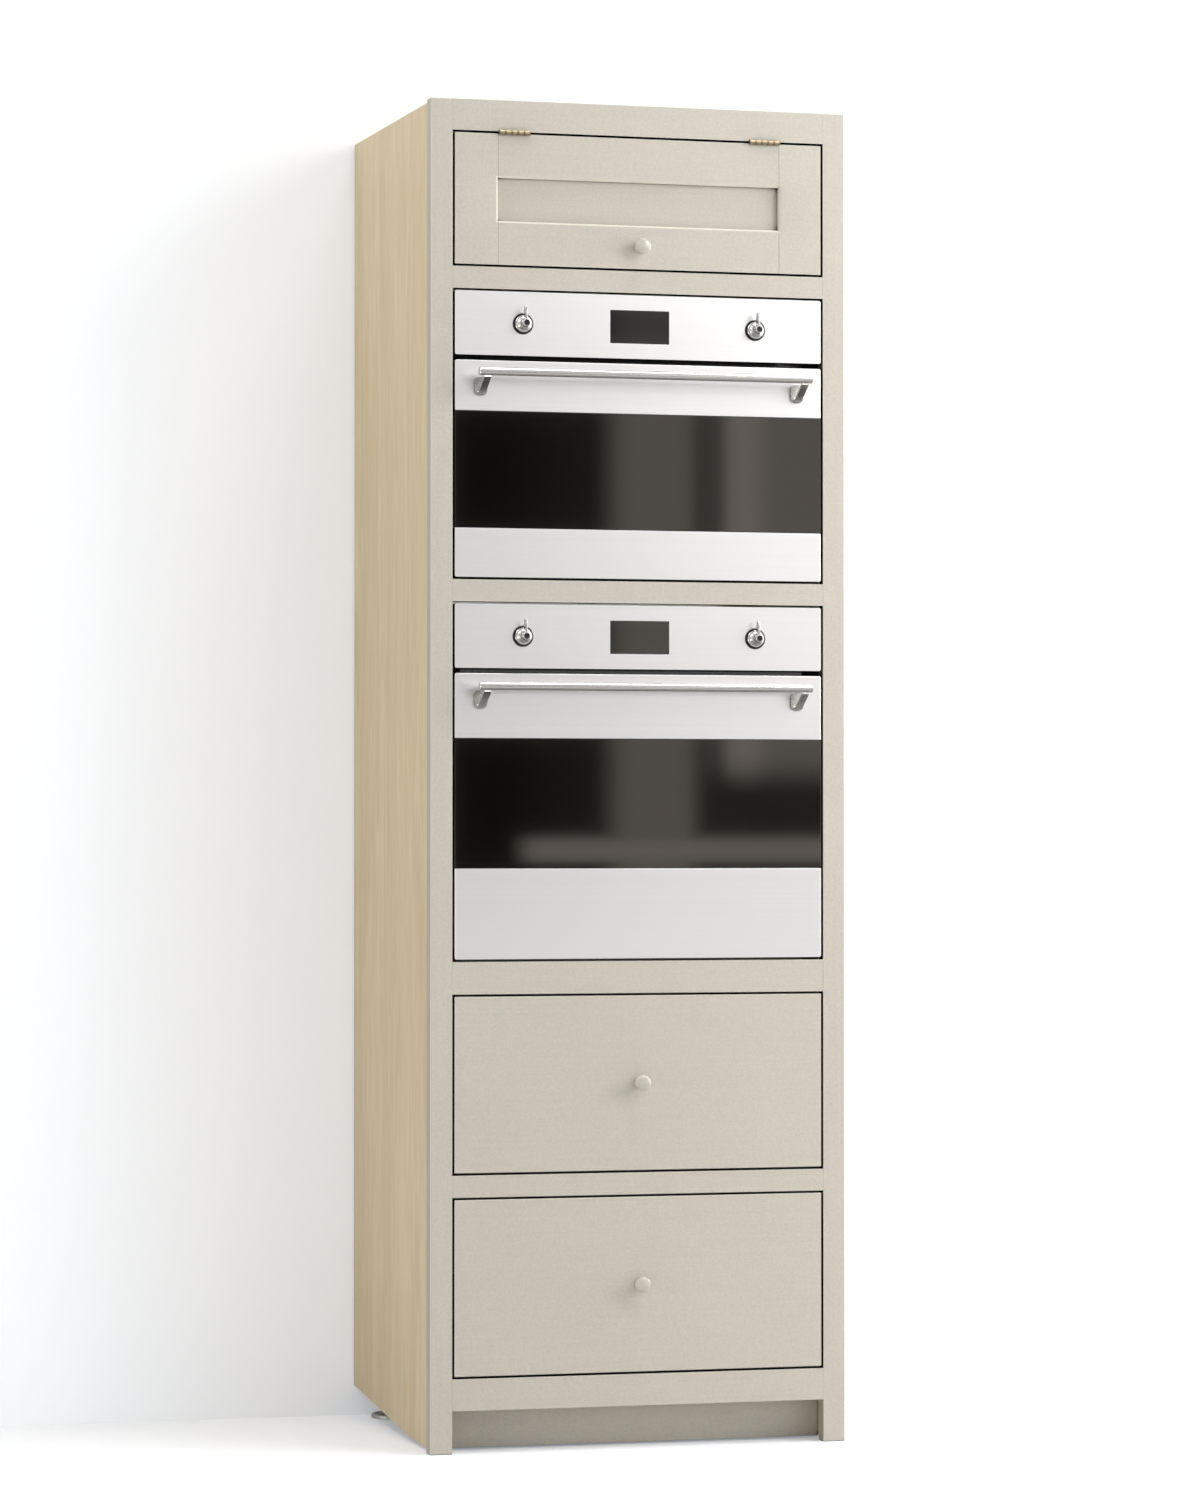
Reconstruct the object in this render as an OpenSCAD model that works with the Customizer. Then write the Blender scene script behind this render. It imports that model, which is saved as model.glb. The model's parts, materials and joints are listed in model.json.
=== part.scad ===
// Tall oven housing unit: a carcase with a flush face frame that holds a lift-up
// locker door, a compact oven, a single oven and two drawers.
// X runs across the front, Y goes back from the room, Z is up. The origin lies on the
// floor under the middle of the unit with its handles.

/* [Face frame] */
// Overall width across the face frame
unit_w = 670; // [660:1:760]
// Thickness of the face frame
frame_t = 24; // [22:1:28]
// Width of each upright stile
stile_w = 35; // [32:1:48]
// Clear height under the bottom rail
bottom_clear = 66; // [56:1:90]
// Height of the bottom rail
bottom_rail_h = 49; // [40:1:70]
// Height of the slim rails between the openings
slim_rail_h = 34; // [30:1:50]
// Height of the rail between the drawers and the single oven
drawer_rail_h = 50; // [40:1:70]
// Height of the top rail
top_rail_h = 48; // [40:1:90]
// Gap round every door and drawer front
front_gap = 3.5; // [3:0.1:4]

/* [Openings] */
// Height of each drawer opening
drawer_opening_h = 278; // [240:1:320]
// Height of the opening for the single oven
main_opening_h = 555; // [540:1:600]
// Height of the opening for the compact oven
compact_opening_h = 449; // [440:1:480]
// Height of the locker opening
locker_opening_h = 210; // [190:1:320]

/* [Carcase] */
// Depth from the face of the frame to the back edge of the sides
unit_d = 550; // [540:1:620]
// Thickness of the carcase boards
board_t = 18; // [16:1:22]
// How far the side panels stand in from the outer face of the stiles
side_inset = 8; // [2:1:12]
// Thickness of the back panels
back_t = 8; // [6:1:10]
// Height of the side panel's front corner above the floor
heel_front = 2; // [1:1:6]
// Depth at which the side panel's lower edge bends
heel_bend_y = 190; // [150:1:230]
// Height of the side panel's lower edge at that bend
heel_bend_z = 11; // [8:1:16]
// Height of the side panel's back corner above the floor
heel_back = 49; // [30:1:60]
// Space left behind the compact oven's shelf for warm air
shelf_vent = 60; // [20:1:100]
// Height of the wall fixing rail
wall_rail_h = 90; // [70:1:120]
// Distance between the two wall screws
wall_screw_span = 400; // [300:1:480]
// Diameter of the wall screw holes
wall_screw_d = 8; // [6:0.5:10]
// How far the plinth stands back from the face of the frame
plinth_back = 55; // [45:1:70]
// Thickness of the plinth board
plinth_t = 16; // [12:1:18]

/* [Levelling feet] */
// Diameter of each foot's floor disc
foot_disc_d = 66; // [56:1:66]
// Thickness of each foot's floor disc
foot_disc_t = 8; // [6:1:10]
// Diameter of each foot's shaft
foot_shaft_d = 34; // [28:1:36]
// Wall of the socket that a foot turns in
socket_wall = 3; // [2:0.5:5]
// Height of the sockets' lower rim above the floor
socket_rim_z = 55; // [40:1:60]
// Distance of the feet's centres from the inner face of the sides
foot_in = 34; // [34:1:60]
// Distance of the front feet behind the plinth's back face
front_foot_y = 40; // [36:1:60]
// Distance of the rear feet's centres from the back edge of the sides
rear_foot_y = 50; // [48:1:80]

/* [Drawers] */
// Thickness of the drawer fronts and of the locker door
front_t = 22; // [20:1:24]
// Thickness of the drawer sides
drawer_side_t = 16; // [12:1:18]
// Thickness of the drawer bottoms
drawer_base_t = 10; // [8:1:12]
// Height of the drawer sides
drawer_side_h = 190; // [150:1:210]
// Height of a drawer box above the bottom of its opening
drawer_lift = 22; // [18:1:30]
// Space behind the drawer boxes
drawer_back_gap = 34; // [24:1:60]
// Space that a telescopic runner takes beside the drawer
runner_t = 12.7; // [12.7:0.1:14]
// Height of the runners
runner_h = 45; // [40:1:50]
// Distance of the runners behind the drawer fronts
runner_front = 18; // [12:1:28]
// Sheet thickness of the runners
runner_sheet = 1.3; // [1.2:0.1:1.6]

/* [Knobs of the drawers and locker] */
// Diameter of a knob's head
knob_head_d = 25; // [22:1:32]
// Diameter of a knob's base
knob_base_d = 19; // [16:1:20]
// How far a knob stands out
knob_out = 26; // [22:1:30]

/* [Locker door] */
// Width of the locker door's stiles
door_stile_w = 69; // [55:1:90]
// Width of the locker door's rails
door_rail_w = 68; // [50:1:70]
// Depth of the locker door's panel behind its face
panel_recess = 11; // [8:1:13]
// Thickness of the locker door's panel
panel_t = 8; // [6:1:8]
// Width of the bevel round the recess
panel_bevel = 3; // [2:0.5:4]
// Length of the butt hinges
hinge_l = 50; // [40:1:64]
// Outer radius of the hinge barrel
barrel_r = 3.75; // [3.5:0.05:4.5]
// Radius of the hinge pin
hinge_pin_r = 1.5; // [1.3:0.1:1.8]
// Thickness of the hinge leaves
leaf_t = 1.4; // [1.2:0.1:1.4]
// Number of knuckles in a hinge
knuckles = 5; // [3:2:7]

/* [Ovens] */
// Height of the control panels
control_h = 99; // [90:1:110]
// Height of the air slot between control panel and door
air_slot = 8; // [6:1:12]
// Thickness of the steel and enamel sheet
sheet_t = 2; // [1.5:0.1:2.5]
// Space between an oven's body and each side of its niche
body_gap = 22; // [20:0.5:26]
// Depth of the oven bodies behind the face of the frame
body_d = 505; // [490:1:515]
// Depth of the face that the door closes on
oven_face_y = 41; // [40:1:44]
// Width of an oven's face beside its cavity mouth
mouth_side = 56; // [48:1:70]
// Height of the cavity mouth above the bottom of its opening
mouth_up = 58; // [52:1:70]
// Distance of the cavity mouth's top below the top of the door
mouth_down = 34; // [28:1:50]
// Corner radius of the cavity
mouth_r = 16; // [8:1:24]
// Space for the fan behind the cavity
fan_space = 52; // [40:1:70]
// Thickness of the seal round the cavity mouth
seal_t = 2; // [1.5:0.1:2.5]
// Width of the seal round the cavity mouth
seal_w = 9; // [6:1:12]
// Width of the clock display
display_w = 95; // [80:1:110]
// Height of the clock display
display_h = 51; // [40:1:60]

/* [Oven doors] */
// Corner radius of the steel fronts
front_corner_r = 3; // [2.5:0.5:5]
// Depth of the outer skin of a door
skin_d = 20; // [18:1:22]
// Thickness of a door's outer glass
glass_t = 4; // [3:0.5:5]
// Upper steel band of the single oven's door
main_upper_band = 100; // [80:1:120]
// Lower steel band of the single oven's door
main_lower_band = 140; // [110:1:160]
// Upper steel band of the compact oven's door
compact_upper_band = 78; // [66:1:90]
// Lower steel band of the compact oven's door
compact_lower_band = 76; // [66:1:90]
// Height of a door's hinge axis above its lower edge
pivot_up = 22; // [20:0.5:24]
// Depth of a door's hinge axis behind its face
pivot_y = 9; // [8.5:0.1:9.5]
// Radius of the door hinge pins
door_pin_r = 3; // [2:0.1:3.5]
// Gap between a door's inner part and the hinge arms
hinge_arm_gap = 6; // [5:0.5:7]
// Thickness of the door hinge arms
hinge_arm_t = 6; // [4:0.5:6]
// Distance of a door's inner part from the door's side edges
inner_side = 34.5; // [33:0.5:45]
// Height of a door's inner part above the hinge axis
inner_up = 14; // [12:1:24]
// Distance of a door's inner part below the door's upper edge
inner_down = 20; // [16:1:28]
// Distance of a door's window from the sides of its inner part
window_side = 64; // [40:1:90]
// Distance of a door's window from the top and bottom of its inner part
window_edge = 46; // [30:1:60]

/* [Door handles] */
// Diameter of the handle bar
bar_d = 13; // [10:0.5:16]
// Distance of the handle bar's ends from the door's side edges
bar_in = 28; // [16:1:50]
// Distance of the bar's axis from the door's face
bar_out = 42; // [38:1:46]
// Distance of the bar's axis below the door's upper edge
bar_down = 21; // [18:1:30]
// Distance of each bracket's middle from the end of the bar
bracket_in = 12.5; // [10:0.5:40]
// Width of a bracket's foot plate
bracket_w = 20; // [16:1:24]
// Height of a bracket's foot plate
bracket_h = 26; // [22:1:32]
// Thickness of a bracket
bracket_t = 3.5; // [2.5:0.5:4]
// Width of the strap that rises from the foot plate to the bar
strap_w = 11; // [8:1:14]

/* [Control knobs] */
// Distance of the control knobs from the panel's side edges
control_in = 108.5; // [80:0.5:140]
// Diameter of the black ring behind a control knob
ring_d = 32; // [30:1:38]
// Thickness of the black ring
ring_t = 2.5; // [2:0.1:3]
// Diameter of a control knob's rim
rim_d = 26.5; // [24:0.5:28]
// Diameter of a control knob's nose
nose_d = 12; // [10:0.5:14]
// Distance of a control knob's nose from the panel
nose_out = 25; // [22:1:30]
// Radius of the control shaft
shaft_r = 3; // [2.5:0.1:3.5]
// Reach of the lever above the knob's axis
lever_up = 27; // [22:1:32]
// Thickness of the lever
lever_t = 4; // [3:0.5:5]

/* [Oven interior] */
// Diameter of the rack rails
rack_wire_d = 5; // [4:0.5:6]
// Diameter of the shelf's frame rod
shelf_rod_d = 6; // [5:0.5:7]
// Diameter of the shelf's cross wires
shelf_wire_d = 3; // [2.5:0.5:4]
// Number of the shelf's cross wires
shelf_wires = 17; // [9:2:21]
// Distance between two rack levels
rack_pitch = 70; // [64:1:76]
// Height of the lowest rack level above the cavity floor
rack_first = 40; // [32:1:46]
// Diameter of the grill element's tube
element_d = 7; // [6:0.5:9]
// Distance between two runs of the grill element
element_pitch = 60; // [50:1:64]
// Diameter of the fan cover
fan_d = 180; // [140:1:190]

/* [Hidden] */
$fn = 48;

// Clearances
seat = 0.3;            // a piece that rests beside its neighbour
running = 0.05;        // radial clearance of a pin or shaft that turns
leaf_gap = 0.35;       // between the hinge barrel and the faces behind it
joint_line = 0.1;      // between pieces of one assembly that are glued or screwed together

// Heights of the openings, from the floor up
lower_z = bottom_clear + bottom_rail_h;
upper_z = lower_z + drawer_opening_h + slim_rail_h;
drawer_rail_z = upper_z + drawer_opening_h;
main_z = drawer_rail_z + drawer_rail_h;
compact_z = main_z + main_opening_h + slim_rail_h;
locker_z = compact_z + compact_opening_h + slim_rail_h;
top_rail_z = locker_z + locker_opening_h;
unit_h = top_rail_z + top_rail_h;

// Carcase
opening_w = unit_w - 2 * stile_w;
front_w = opening_w - 2 * front_gap;
side_out = unit_w / 2 - side_inset;
side_in = side_out - board_t;
back_y = unit_d - board_t - back_t;
plinth_y = plinth_back + plinth_t;
foot_x = side_in - foot_in;
foot_ys = [plinth_y + front_foot_y, unit_d - rear_foot_y];
base_under = lower_z - board_t;
socket_flange_t = 5;
shaft_hole_r = foot_shaft_d / 2 + running;
socket_r = shaft_hole_r + socket_wall;
foot_edge = 3;         // chamfer of a foot's disc
foot_flare = 4;        // where a foot's shaft widens to its disc
shaft_edge = 2;        // chamfer at the top of a foot's shaft

// Clips behind the plinth that grip the front legs
clip_z = [socket_rim_z + 5, socket_rim_z + 20];
clip_plate_w = 40;
clip_plate_rim = 6;
clip_arm_w = 12;
clip_t = 3;
clip_mouth = 6;        // the clip is open this far behind a leg's middle
plinth_lift = 1;       // plinth above the side panels' front corners
plinth_top_gap = 3;    // plinth below the base board

// Middle of the unit's depth, handles included
mid_y = (unit_d - bar_out - bar_d / 2) / 2;

// The two ovens: single first, compact second
oven_z = [main_z, compact_z];
oven_h = [main_opening_h, compact_opening_h];
upper_band = [main_upper_band, compact_upper_band];
lower_band = [main_lower_band, compact_lower_band];
rack_levels = [4, 3];
shelf_level = [2, 1];
function door_low(k) = oven_z[k] + front_gap;
function panel_top(k) = oven_z[k] + oven_h[k] - front_gap;
function panel_mid(k) = panel_top(k) - control_h / 2;
function door_top(k) = panel_top(k) - control_h - air_slot;
function pivot_z(k) = door_low(k) + pivot_up;
function mouth_low(k) = oven_z[k] + mouth_up;
function mouth_top(k) = door_top(k) - mouth_down;
function bar_z(k) = door_top(k) - bar_down;
function rack_z(k, level) = mouth_low(k) + rack_first + level * rack_pitch;
body_margin = 12;
function body_top(k) = oven_z[k] + oven_h[k] - body_margin;
body_w = opening_w - 2 * body_gap;
mouth_w = body_w - 2 * mouth_side;
cavity_back = body_d - fan_space;
door_inner_y = oven_face_y - seal_t - seat;
inner_w = front_w - 2 * inner_side;
hinge_arm_x = inner_w / 2 + hinge_arm_gap;
hinge_arm_r = 6;
ear_gap = 1;           // between a door's inner part and its hinge ears
ear_lap = 1;           // the ears run up into the liner by this much
arm_notch = 1;         // room round a hinge arm where it passes the door's sheet
bar_l = front_w - 2 * bar_in;
bracket_span = bar_l - 2 * bracket_in;
control_span = front_w - 2 * control_in;

// Air slots and terminal cover in the back of each casing
vent_count = 7;
vent_pitch = 14;
vent_w = 90;
vent_h = 6;
vent_x = 150;          // middle of each group of slots from the centre
vent_down = 60;        // lower edge of the first slot below the casing's top
terminal_w = 100;
terminal_h = 70;
terminal_t = 12;
terminal_in = 58;      // from the side of the casing
terminal_up = 40;      // above the bottom of the casing

// Lugs that fix a control panel to the oven's face, and the clock behind its window
lug_w = 20;
lug_h = 16;
lug_in = 2;            // from the side of the oven's body
clock_rim = 6;         // the clock's housing laps the window by this much
clock_back_gap = 2;    // clock housing ahead of the panel's folded edge
clock_proud = 1;       // clock glass behind the sheet

// Finishes
paint = [0.80, 0.77, 0.72];
maple = [0.78, 0.71, 0.58];
steel = [0.88, 0.88, 0.86];
bright = [0.80, 0.80, 0.80];
enamel = [0.16, 0.16, 0.17];
black_glass = [0.08, 0.07, 0.07];
brass = [0.80, 0.70, 0.48];
galvanised = [0.62, 0.63, 0.64];
dark_plastic = [0.10, 0.10, 0.10];

// Moves a piece drawn from the face of the frame to the unit's own origin
module place() translate([0, -mid_y, 0]) children();

// Repeats a piece on the other side of the unit
module both_sides() {
    children();
    mirror([1, 0, 0]) children();
}

// A square-edged board between the given limits
module board(x, y, z)
    translate([x[0], y[0], z[0]]) cube([x[1] - x[0], y[1] - y[0], z[1] - z[0]]);

// A board centred across the unit
module wide(w, y, z) board([-w / 2, w / 2], y, z);

// A drawing in Y and Z, carried across from x0 to x1
module across(x0, x1)
    translate([x0, 0, 0]) rotate([90, 0, 90]) linear_extrude(x1 - x0) children();

// A drawing in X and Z, carried back from y0 to y1
module back_from(y0, y1)
    translate([0, y1, 0]) rotate([90, 0, 0]) linear_extrude(y1 - y0) children();

// A round bar along X, Y or Z
module bar_x(x0, x1, y, z, r) translate([x0, y, z]) rotate([0, 90, 0]) cylinder(h = x1 - x0, r = r);
module bar_y(x, y0, y1, z, r) translate([x, y1, z]) rotate([90, 0, 0]) cylinder(h = y1 - y0, r = r);
module bar_z_up(x, y, z0, z1, r) translate([x, y, z0]) cylinder(h = z1 - z0, r = r);

// A rectangle with round corners, centred
module round_rect(w, h, r) {
    square([w - 2 * r, h], center = true);
    square([w, h - 2 * r], center = true);
    for (sx = [-1, 1], sz = [-1, 1])
        translate([sx * (w / 2 - r), sz * (h / 2 - r)]) circle(r);
}

// A rectangle of width w between two heights, with its lower and upper corners
// rounded by their own radii
module eased_rect(w, z, low_r, high_r) {
    translate([-w / 2, z[0] + low_r]) square([w, z[1] - z[0] - low_r - high_r]);
    for (end = [[low_r, z[0], z[0] + low_r], [high_r, z[1] - high_r, z[1] - high_r]])
        if (end[0] > 0) {
            translate([-w / 2 + end[0], end[1]]) square([w - 2 * end[0], end[0]]);
            for (sx = [-1, 1]) translate([sx * (w / 2 - end[0]), end[2]]) circle(end[0]);
        }
}

// ---- Carcase ----

module side_panels() color(maple) place() both_sides()
    across(side_in, side_out) polygon([
        [frame_t, heel_front], [heel_bend_y, heel_bend_z], [unit_d, heel_back],
        [unit_d, unit_h], [frame_t, unit_h]
    ]);

module top_panel() color(maple) place()
    wide(2 * side_in, [frame_t, unit_d], [unit_h - board_t, unit_h]);

// The base board and the three shelves that carry the ovens and the locker
module fixed_shelves() color(maple) place() {
    for (top = [lower_z, main_z, locker_z])
        wide(2 * side_in, [frame_t, back_y], [top - board_t, top]);
    wide(2 * side_in, [frame_t, back_y - shelf_vent], [compact_z - board_t, compact_z]);
}

module wall_holes(y0, y1)
    for (sx = [-1, 1])
        bar_y(sx * wall_screw_span / 2, y0 - 1, y1 + 1, unit_h - board_t - wall_rail_h / 2,
              wall_screw_d / 2);

module back_panels() color(maple) place() {
    difference() {
        wide(2 * side_in, [back_y, back_y + back_t], [locker_z - board_t, unit_h - board_t]);
        wall_holes(back_y, back_y + back_t);
    }
    wide(2 * side_in, [back_y, back_y + back_t], [base_under, main_z]);
}

module wall_fixing_rail() color(maple) place() difference() {
    wide(2 * side_in, [back_y + back_t, unit_d], [unit_h - board_t - wall_rail_h, unit_h - board_t]);
    wall_holes(back_y + back_t, unit_d);
}

// Uprights that narrow the niche to the width of the oven bodies
module oven_packers() color(maple) place()
    for (k = [0, 1]) both_sides()
        board([body_w / 2 + seat, side_in], [oven_face_y, body_d - shelf_vent], [oven_z[k], body_top(k)]);

module frame_stiles() color(paint) place() both_sides()
    board([opening_w / 2, unit_w / 2], [0, frame_t], [0, unit_h]);

module frame_rails() color(paint) place()
    for (rail = [
        [bottom_clear, bottom_rail_h], [lower_z + drawer_opening_h, slim_rail_h],
        [drawer_rail_z, drawer_rail_h], [compact_z - slim_rail_h, slim_rail_h],
        [locker_z - slim_rail_h, slim_rail_h], [top_rail_z, top_rail_h]
    ])
        wide(opening_w, [0, frame_t], [rail[0], rail[0] + rail[1]]);

// The plinth board, with the two clips that grip the front legs
module plinth() color(paint) place() {
    clip_y = plinth_y + joint_line;
    clip_r = socket_r + clip_t;
    through_z = [clip_z[0] - 1, clip_z[1] + 1];
    wide(2 * (side_in - seat), [plinth_back, plinth_y],
         [heel_front + plinth_lift, base_under - plinth_top_gap]);
    both_sides() difference() {
        union() {
            board([foot_x - clip_plate_w / 2, foot_x + clip_plate_w / 2], [clip_y, clip_y + clip_t],
                  [clip_z[0] - clip_plate_rim, clip_z[1] + clip_plate_rim]);
            board([foot_x - clip_arm_w / 2, foot_x + clip_arm_w / 2],
                  [clip_y, foot_ys[0] - socket_r], clip_z);
            bar_z_up(foot_x, foot_ys[0], clip_z[0], clip_z[1], clip_r);
        }
        bar_z_up(foot_x, foot_ys[0], through_z[0], through_z[1], socket_r + seat);
        board([foot_x - 2 * clip_r, foot_x + 2 * clip_r],
              [foot_ys[0] + clip_mouth, foot_ys[0] + 2 * clip_r], through_z);
    }
}

// ---- Levelling feet ----

module leg_sockets() color(dark_plastic) place() both_sides() for (y = foot_ys)
    difference() {
        union() {
            bar_z_up(foot_x, y, socket_rim_z, base_under, socket_r);
            bar_z_up(foot_x, y, base_under - socket_flange_t, base_under, socket_r + socket_wall);
        }
        bar_z_up(foot_x, y, socket_rim_z - 1, base_under - socket_flange_t, shaft_hole_r);
    }

// A disc on the floor with a shaft that turns in its socket
module levelling_foot(x, y) color(galvanised) place() translate([x, y, 0]) {
    shaft_top = base_under - socket_flange_t - shaft_edge;
    disc_r = foot_disc_d / 2;
    shaft_foot_r = foot_shaft_d / 2;
    rotate_extrude() polygon([
        [0, 0], [disc_r, 0], [disc_r, foot_disc_t - foot_edge], [disc_r - foot_edge, foot_disc_t],
        [shaft_foot_r + foot_flare, foot_disc_t], [shaft_foot_r, foot_disc_t + foot_flare],
        [shaft_foot_r, shaft_top - shaft_edge], [shaft_foot_r - shaft_edge, shaft_top], [0, shaft_top]
    ]);
}
module foot_front_left() levelling_foot(-foot_x, foot_ys[0]);
module foot_front_right() levelling_foot(foot_x, foot_ys[0]);
module foot_rear_left() levelling_foot(-foot_x, foot_ys[1]);
module foot_rear_right() levelling_foot(foot_x, foot_ys[1]);

// ---- Drawers and their telescopic runners ----

drawer_out = opening_w / 2 - runner_t;
drawer_far = back_y - drawer_back_gap;
runner_y = [front_t + runner_front, drawer_far];
runner_up = 60;        // middle of a runner above the bottom of the drawer box
packer_h = 90;
packer_past = 10;      // a packer reaches past its runner by this much
drawer_base_up = 4;
function runner_z(z) = z + drawer_lift + runner_up;

module runner_packers() color(maple) place() both_sides() for (z = [lower_z, upper_z])
    board([opening_w / 2, side_in], [frame_t, runner_y[1] + packer_past],
          [runner_z(z) - packer_h / 2, runner_z(z) + packer_h / 2]);

// A channel along the drawer: its web lies against x0 and its two flanges reach x1
module runner_channel(x0, x1, h, z) {
    web = x1 > x0 ? [x0, x0 + runner_sheet] : [x0 - runner_sheet, x0];
    flange = x1 > x0 ? [x0, x1] : [x1, x0];
    board(web, runner_y, [z - h / 2, z + h / 2]);
    for (s = [-1, 1])
        board(flange, runner_y, s > 0 ? [z + h / 2 - runner_sheet, z + h / 2]
                                      : [z - h / 2, z - h / 2 + runner_sheet]);
}
middle_h = runner_h - 2 * (runner_sheet + seat);
inner_h = middle_h - 2 * (runner_sheet + seat);
flange_gap = 1;

module cabinet_runners() color(galvanised) place() both_sides() for (z = [lower_z, upper_z])
    runner_channel(opening_w / 2, drawer_out + flange_gap, runner_h, runner_z(z));

module middle_runners(z) color(galvanised) place() both_sides()
    runner_channel(opening_w / 2 - runner_sheet - seat, drawer_out + flange_gap, middle_h, runner_z(z));

module drawer_runners(z) color(galvanised) place() both_sides()
    runner_channel(drawer_out, opening_w / 2 - 2 * runner_sheet - 2 * seat, inner_h, runner_z(z));

module drawer_front(z) color(paint) place()
    wide(front_w, [0, front_t], [z + front_gap, z + drawer_opening_h - front_gap]);

// Sides, sub-front and back round a base board, open at the top
module drawer_box(z) color(maple) place() {
    low = z + drawer_lift;
    high = low + drawer_side_h;
    sub_front = [front_t, front_t + drawer_side_t];
    far = drawer_far;
    inside_w = 2 * (drawer_out - drawer_side_t - joint_line);
    both_sides()
        board([drawer_out - drawer_side_t, drawer_out], [sub_front[0], far], [low, high]);
    wide(inside_w, sub_front, [low, high]);
    wide(inside_w, [far - drawer_side_t, far], [low, high]);
    wide(inside_w, [sub_front[1] + joint_line, far - drawer_side_t - joint_line],
         [low + drawer_base_up, low + drawer_base_up + drawer_base_t]);
}

// A turned knob: flared base, waist, and a dished head with a round rim
module turned_knob(z) color(paint) place() translate([0, 0, z]) rotate([90, 0, 0]) {
    base_r = knob_base_d / 2;
    head_r = knob_head_d / 2;
    waist_r = base_r * 0.62;
    rim = 3;
    dish = 2;
    foot = 1.5;
    neck = 5;
    waist_out = knob_out - 2 * rim - neck;
    rotate_extrude() polygon(concat(
        [[0, 0], [base_r, 0], [base_r, foot]],
        [for (a = [0:15:90]) [waist_r + (base_r - waist_r) * (1 - sin(a)),
                              foot + (waist_out - foot) * (1 - cos(a))]],
        [for (a = [0:15:90]) [head_r - (head_r - waist_r) * cos(a), waist_out + neck * sin(a)]],
        [for (a = [0:20:180]) [head_r - rim + rim * cos(a), knob_out - rim + rim * sin(a)]],
        [[head_r - 2 * rim - seat, knob_out - dish], [0, knob_out - dish]]
    ));
}

module upper_drawer_front() drawer_front(upper_z);
module upper_drawer_box() drawer_box(upper_z);
module upper_drawer_knob() turned_knob(upper_z + drawer_opening_h / 2);
module upper_drawer_runners() drawer_runners(upper_z);
module upper_middle_runners() middle_runners(upper_z);
module lower_drawer_front() drawer_front(lower_z);
module lower_drawer_box() drawer_box(lower_z);
module lower_drawer_knob() turned_knob(lower_z + drawer_opening_h / 2);
module lower_drawer_runners() drawer_runners(lower_z);
module lower_middle_runners() middle_runners(lower_z);

// ---- Locker door on two butt hinges ----

locker_low = locker_z + front_gap;
locker_top = top_rail_z - front_gap;
recess_x = front_w / 2 - door_stile_w;
recess_z = [locker_low + door_rail_w, locker_top - door_rail_w];
hinge_x = recess_x - hinge_l / 2;
barrel_y = -(barrel_r + leaf_gap);
barrel_z = top_rail_z - front_gap / 2;
knuckle_l = hinge_l / knuckles;

// The bevelled way in to the recess, mitred at its corners
module recess_way() intersection() {
    flare = panel_bevel;
    across(-front_w, front_w) polygon([
        [-1, recess_z[0] - flare - 1], [-1, recess_z[1] + flare + 1],
        [flare, recess_z[1]], [front_t + 1, recess_z[1]],
        [front_t + 1, recess_z[0]], [flare, recess_z[0]]
    ]);
    translate([0, 0, locker_low - 1]) linear_extrude(locker_opening_h) polygon([
        [-recess_x - flare - 1, -1], [recess_x + flare + 1, -1],
        [recess_x, flare], [recess_x, front_t + 1],
        [-recess_x, front_t + 1], [-recess_x, flare]
    ]);
}

// Two stiles over the full height with two rails between them
module locker_door_frame() color(paint) place() {
    rail_l = 2 * (recess_x - joint_line);
    both_sides() difference() {
        board([recess_x, front_w / 2], [0, front_t], [locker_low, locker_top]);
        recess_way();
    }
    difference() {
        wide(rail_l, [0, front_t], [locker_low, recess_z[0]]);
        recess_way();
    }
    difference() {
        wide(rail_l, [0, front_t], [recess_z[1], locker_top]);
        recess_way();
    }
}

module locker_door_panel() color(paint) place()
    wide(2 * (recess_x - joint_line), [panel_recess, panel_recess + panel_t],
         [recess_z[0] + joint_line, recess_z[1] - joint_line]);

module locker_door_knob() turned_knob(locker_low + door_rail_w / 2);

// One leaf of a butt hinge with every second knuckle, bored for the pin
module hinge_leaf(first, z, bore_r) difference() {
    union() {
        board([hinge_x - hinge_l / 2, hinge_x + hinge_l / 2], [0, front_t], z);
        for (i = [first:2:knuckles - 1]) {
            x0 = hinge_x - hinge_l / 2 + i * knuckle_l + (i == 0 ? 0 : seat / 2);
            x1 = hinge_x - hinge_l / 2 + (i + 1) * knuckle_l - (i == knuckles - 1 ? 0 : seat / 2);
            bar_x(x0, x1, barrel_y, barrel_z, barrel_r);
            board([x0, x1], [barrel_y, 0], z);
        }
    }
    if (bore_r > 0) bar_x(hinge_x - hinge_l, hinge_x + hinge_l, barrel_y, barrel_z, bore_r);
}

// The frame's leaves carry the pins
module hinge_frame_leaves() color(brass) place() both_sides() {
    hinge_leaf(0, [top_rail_z - leaf_t, top_rail_z], 0);
    bar_x(hinge_x - hinge_l / 2, hinge_x + hinge_l / 2, barrel_y, barrel_z, hinge_pin_r);
}

module hinge_door_leaves() color(brass) place() both_sides()
    hinge_leaf(1, [locker_top, locker_top + leaf_t], hinge_pin_r + running);

// ---- Oven bodies ----

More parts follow.
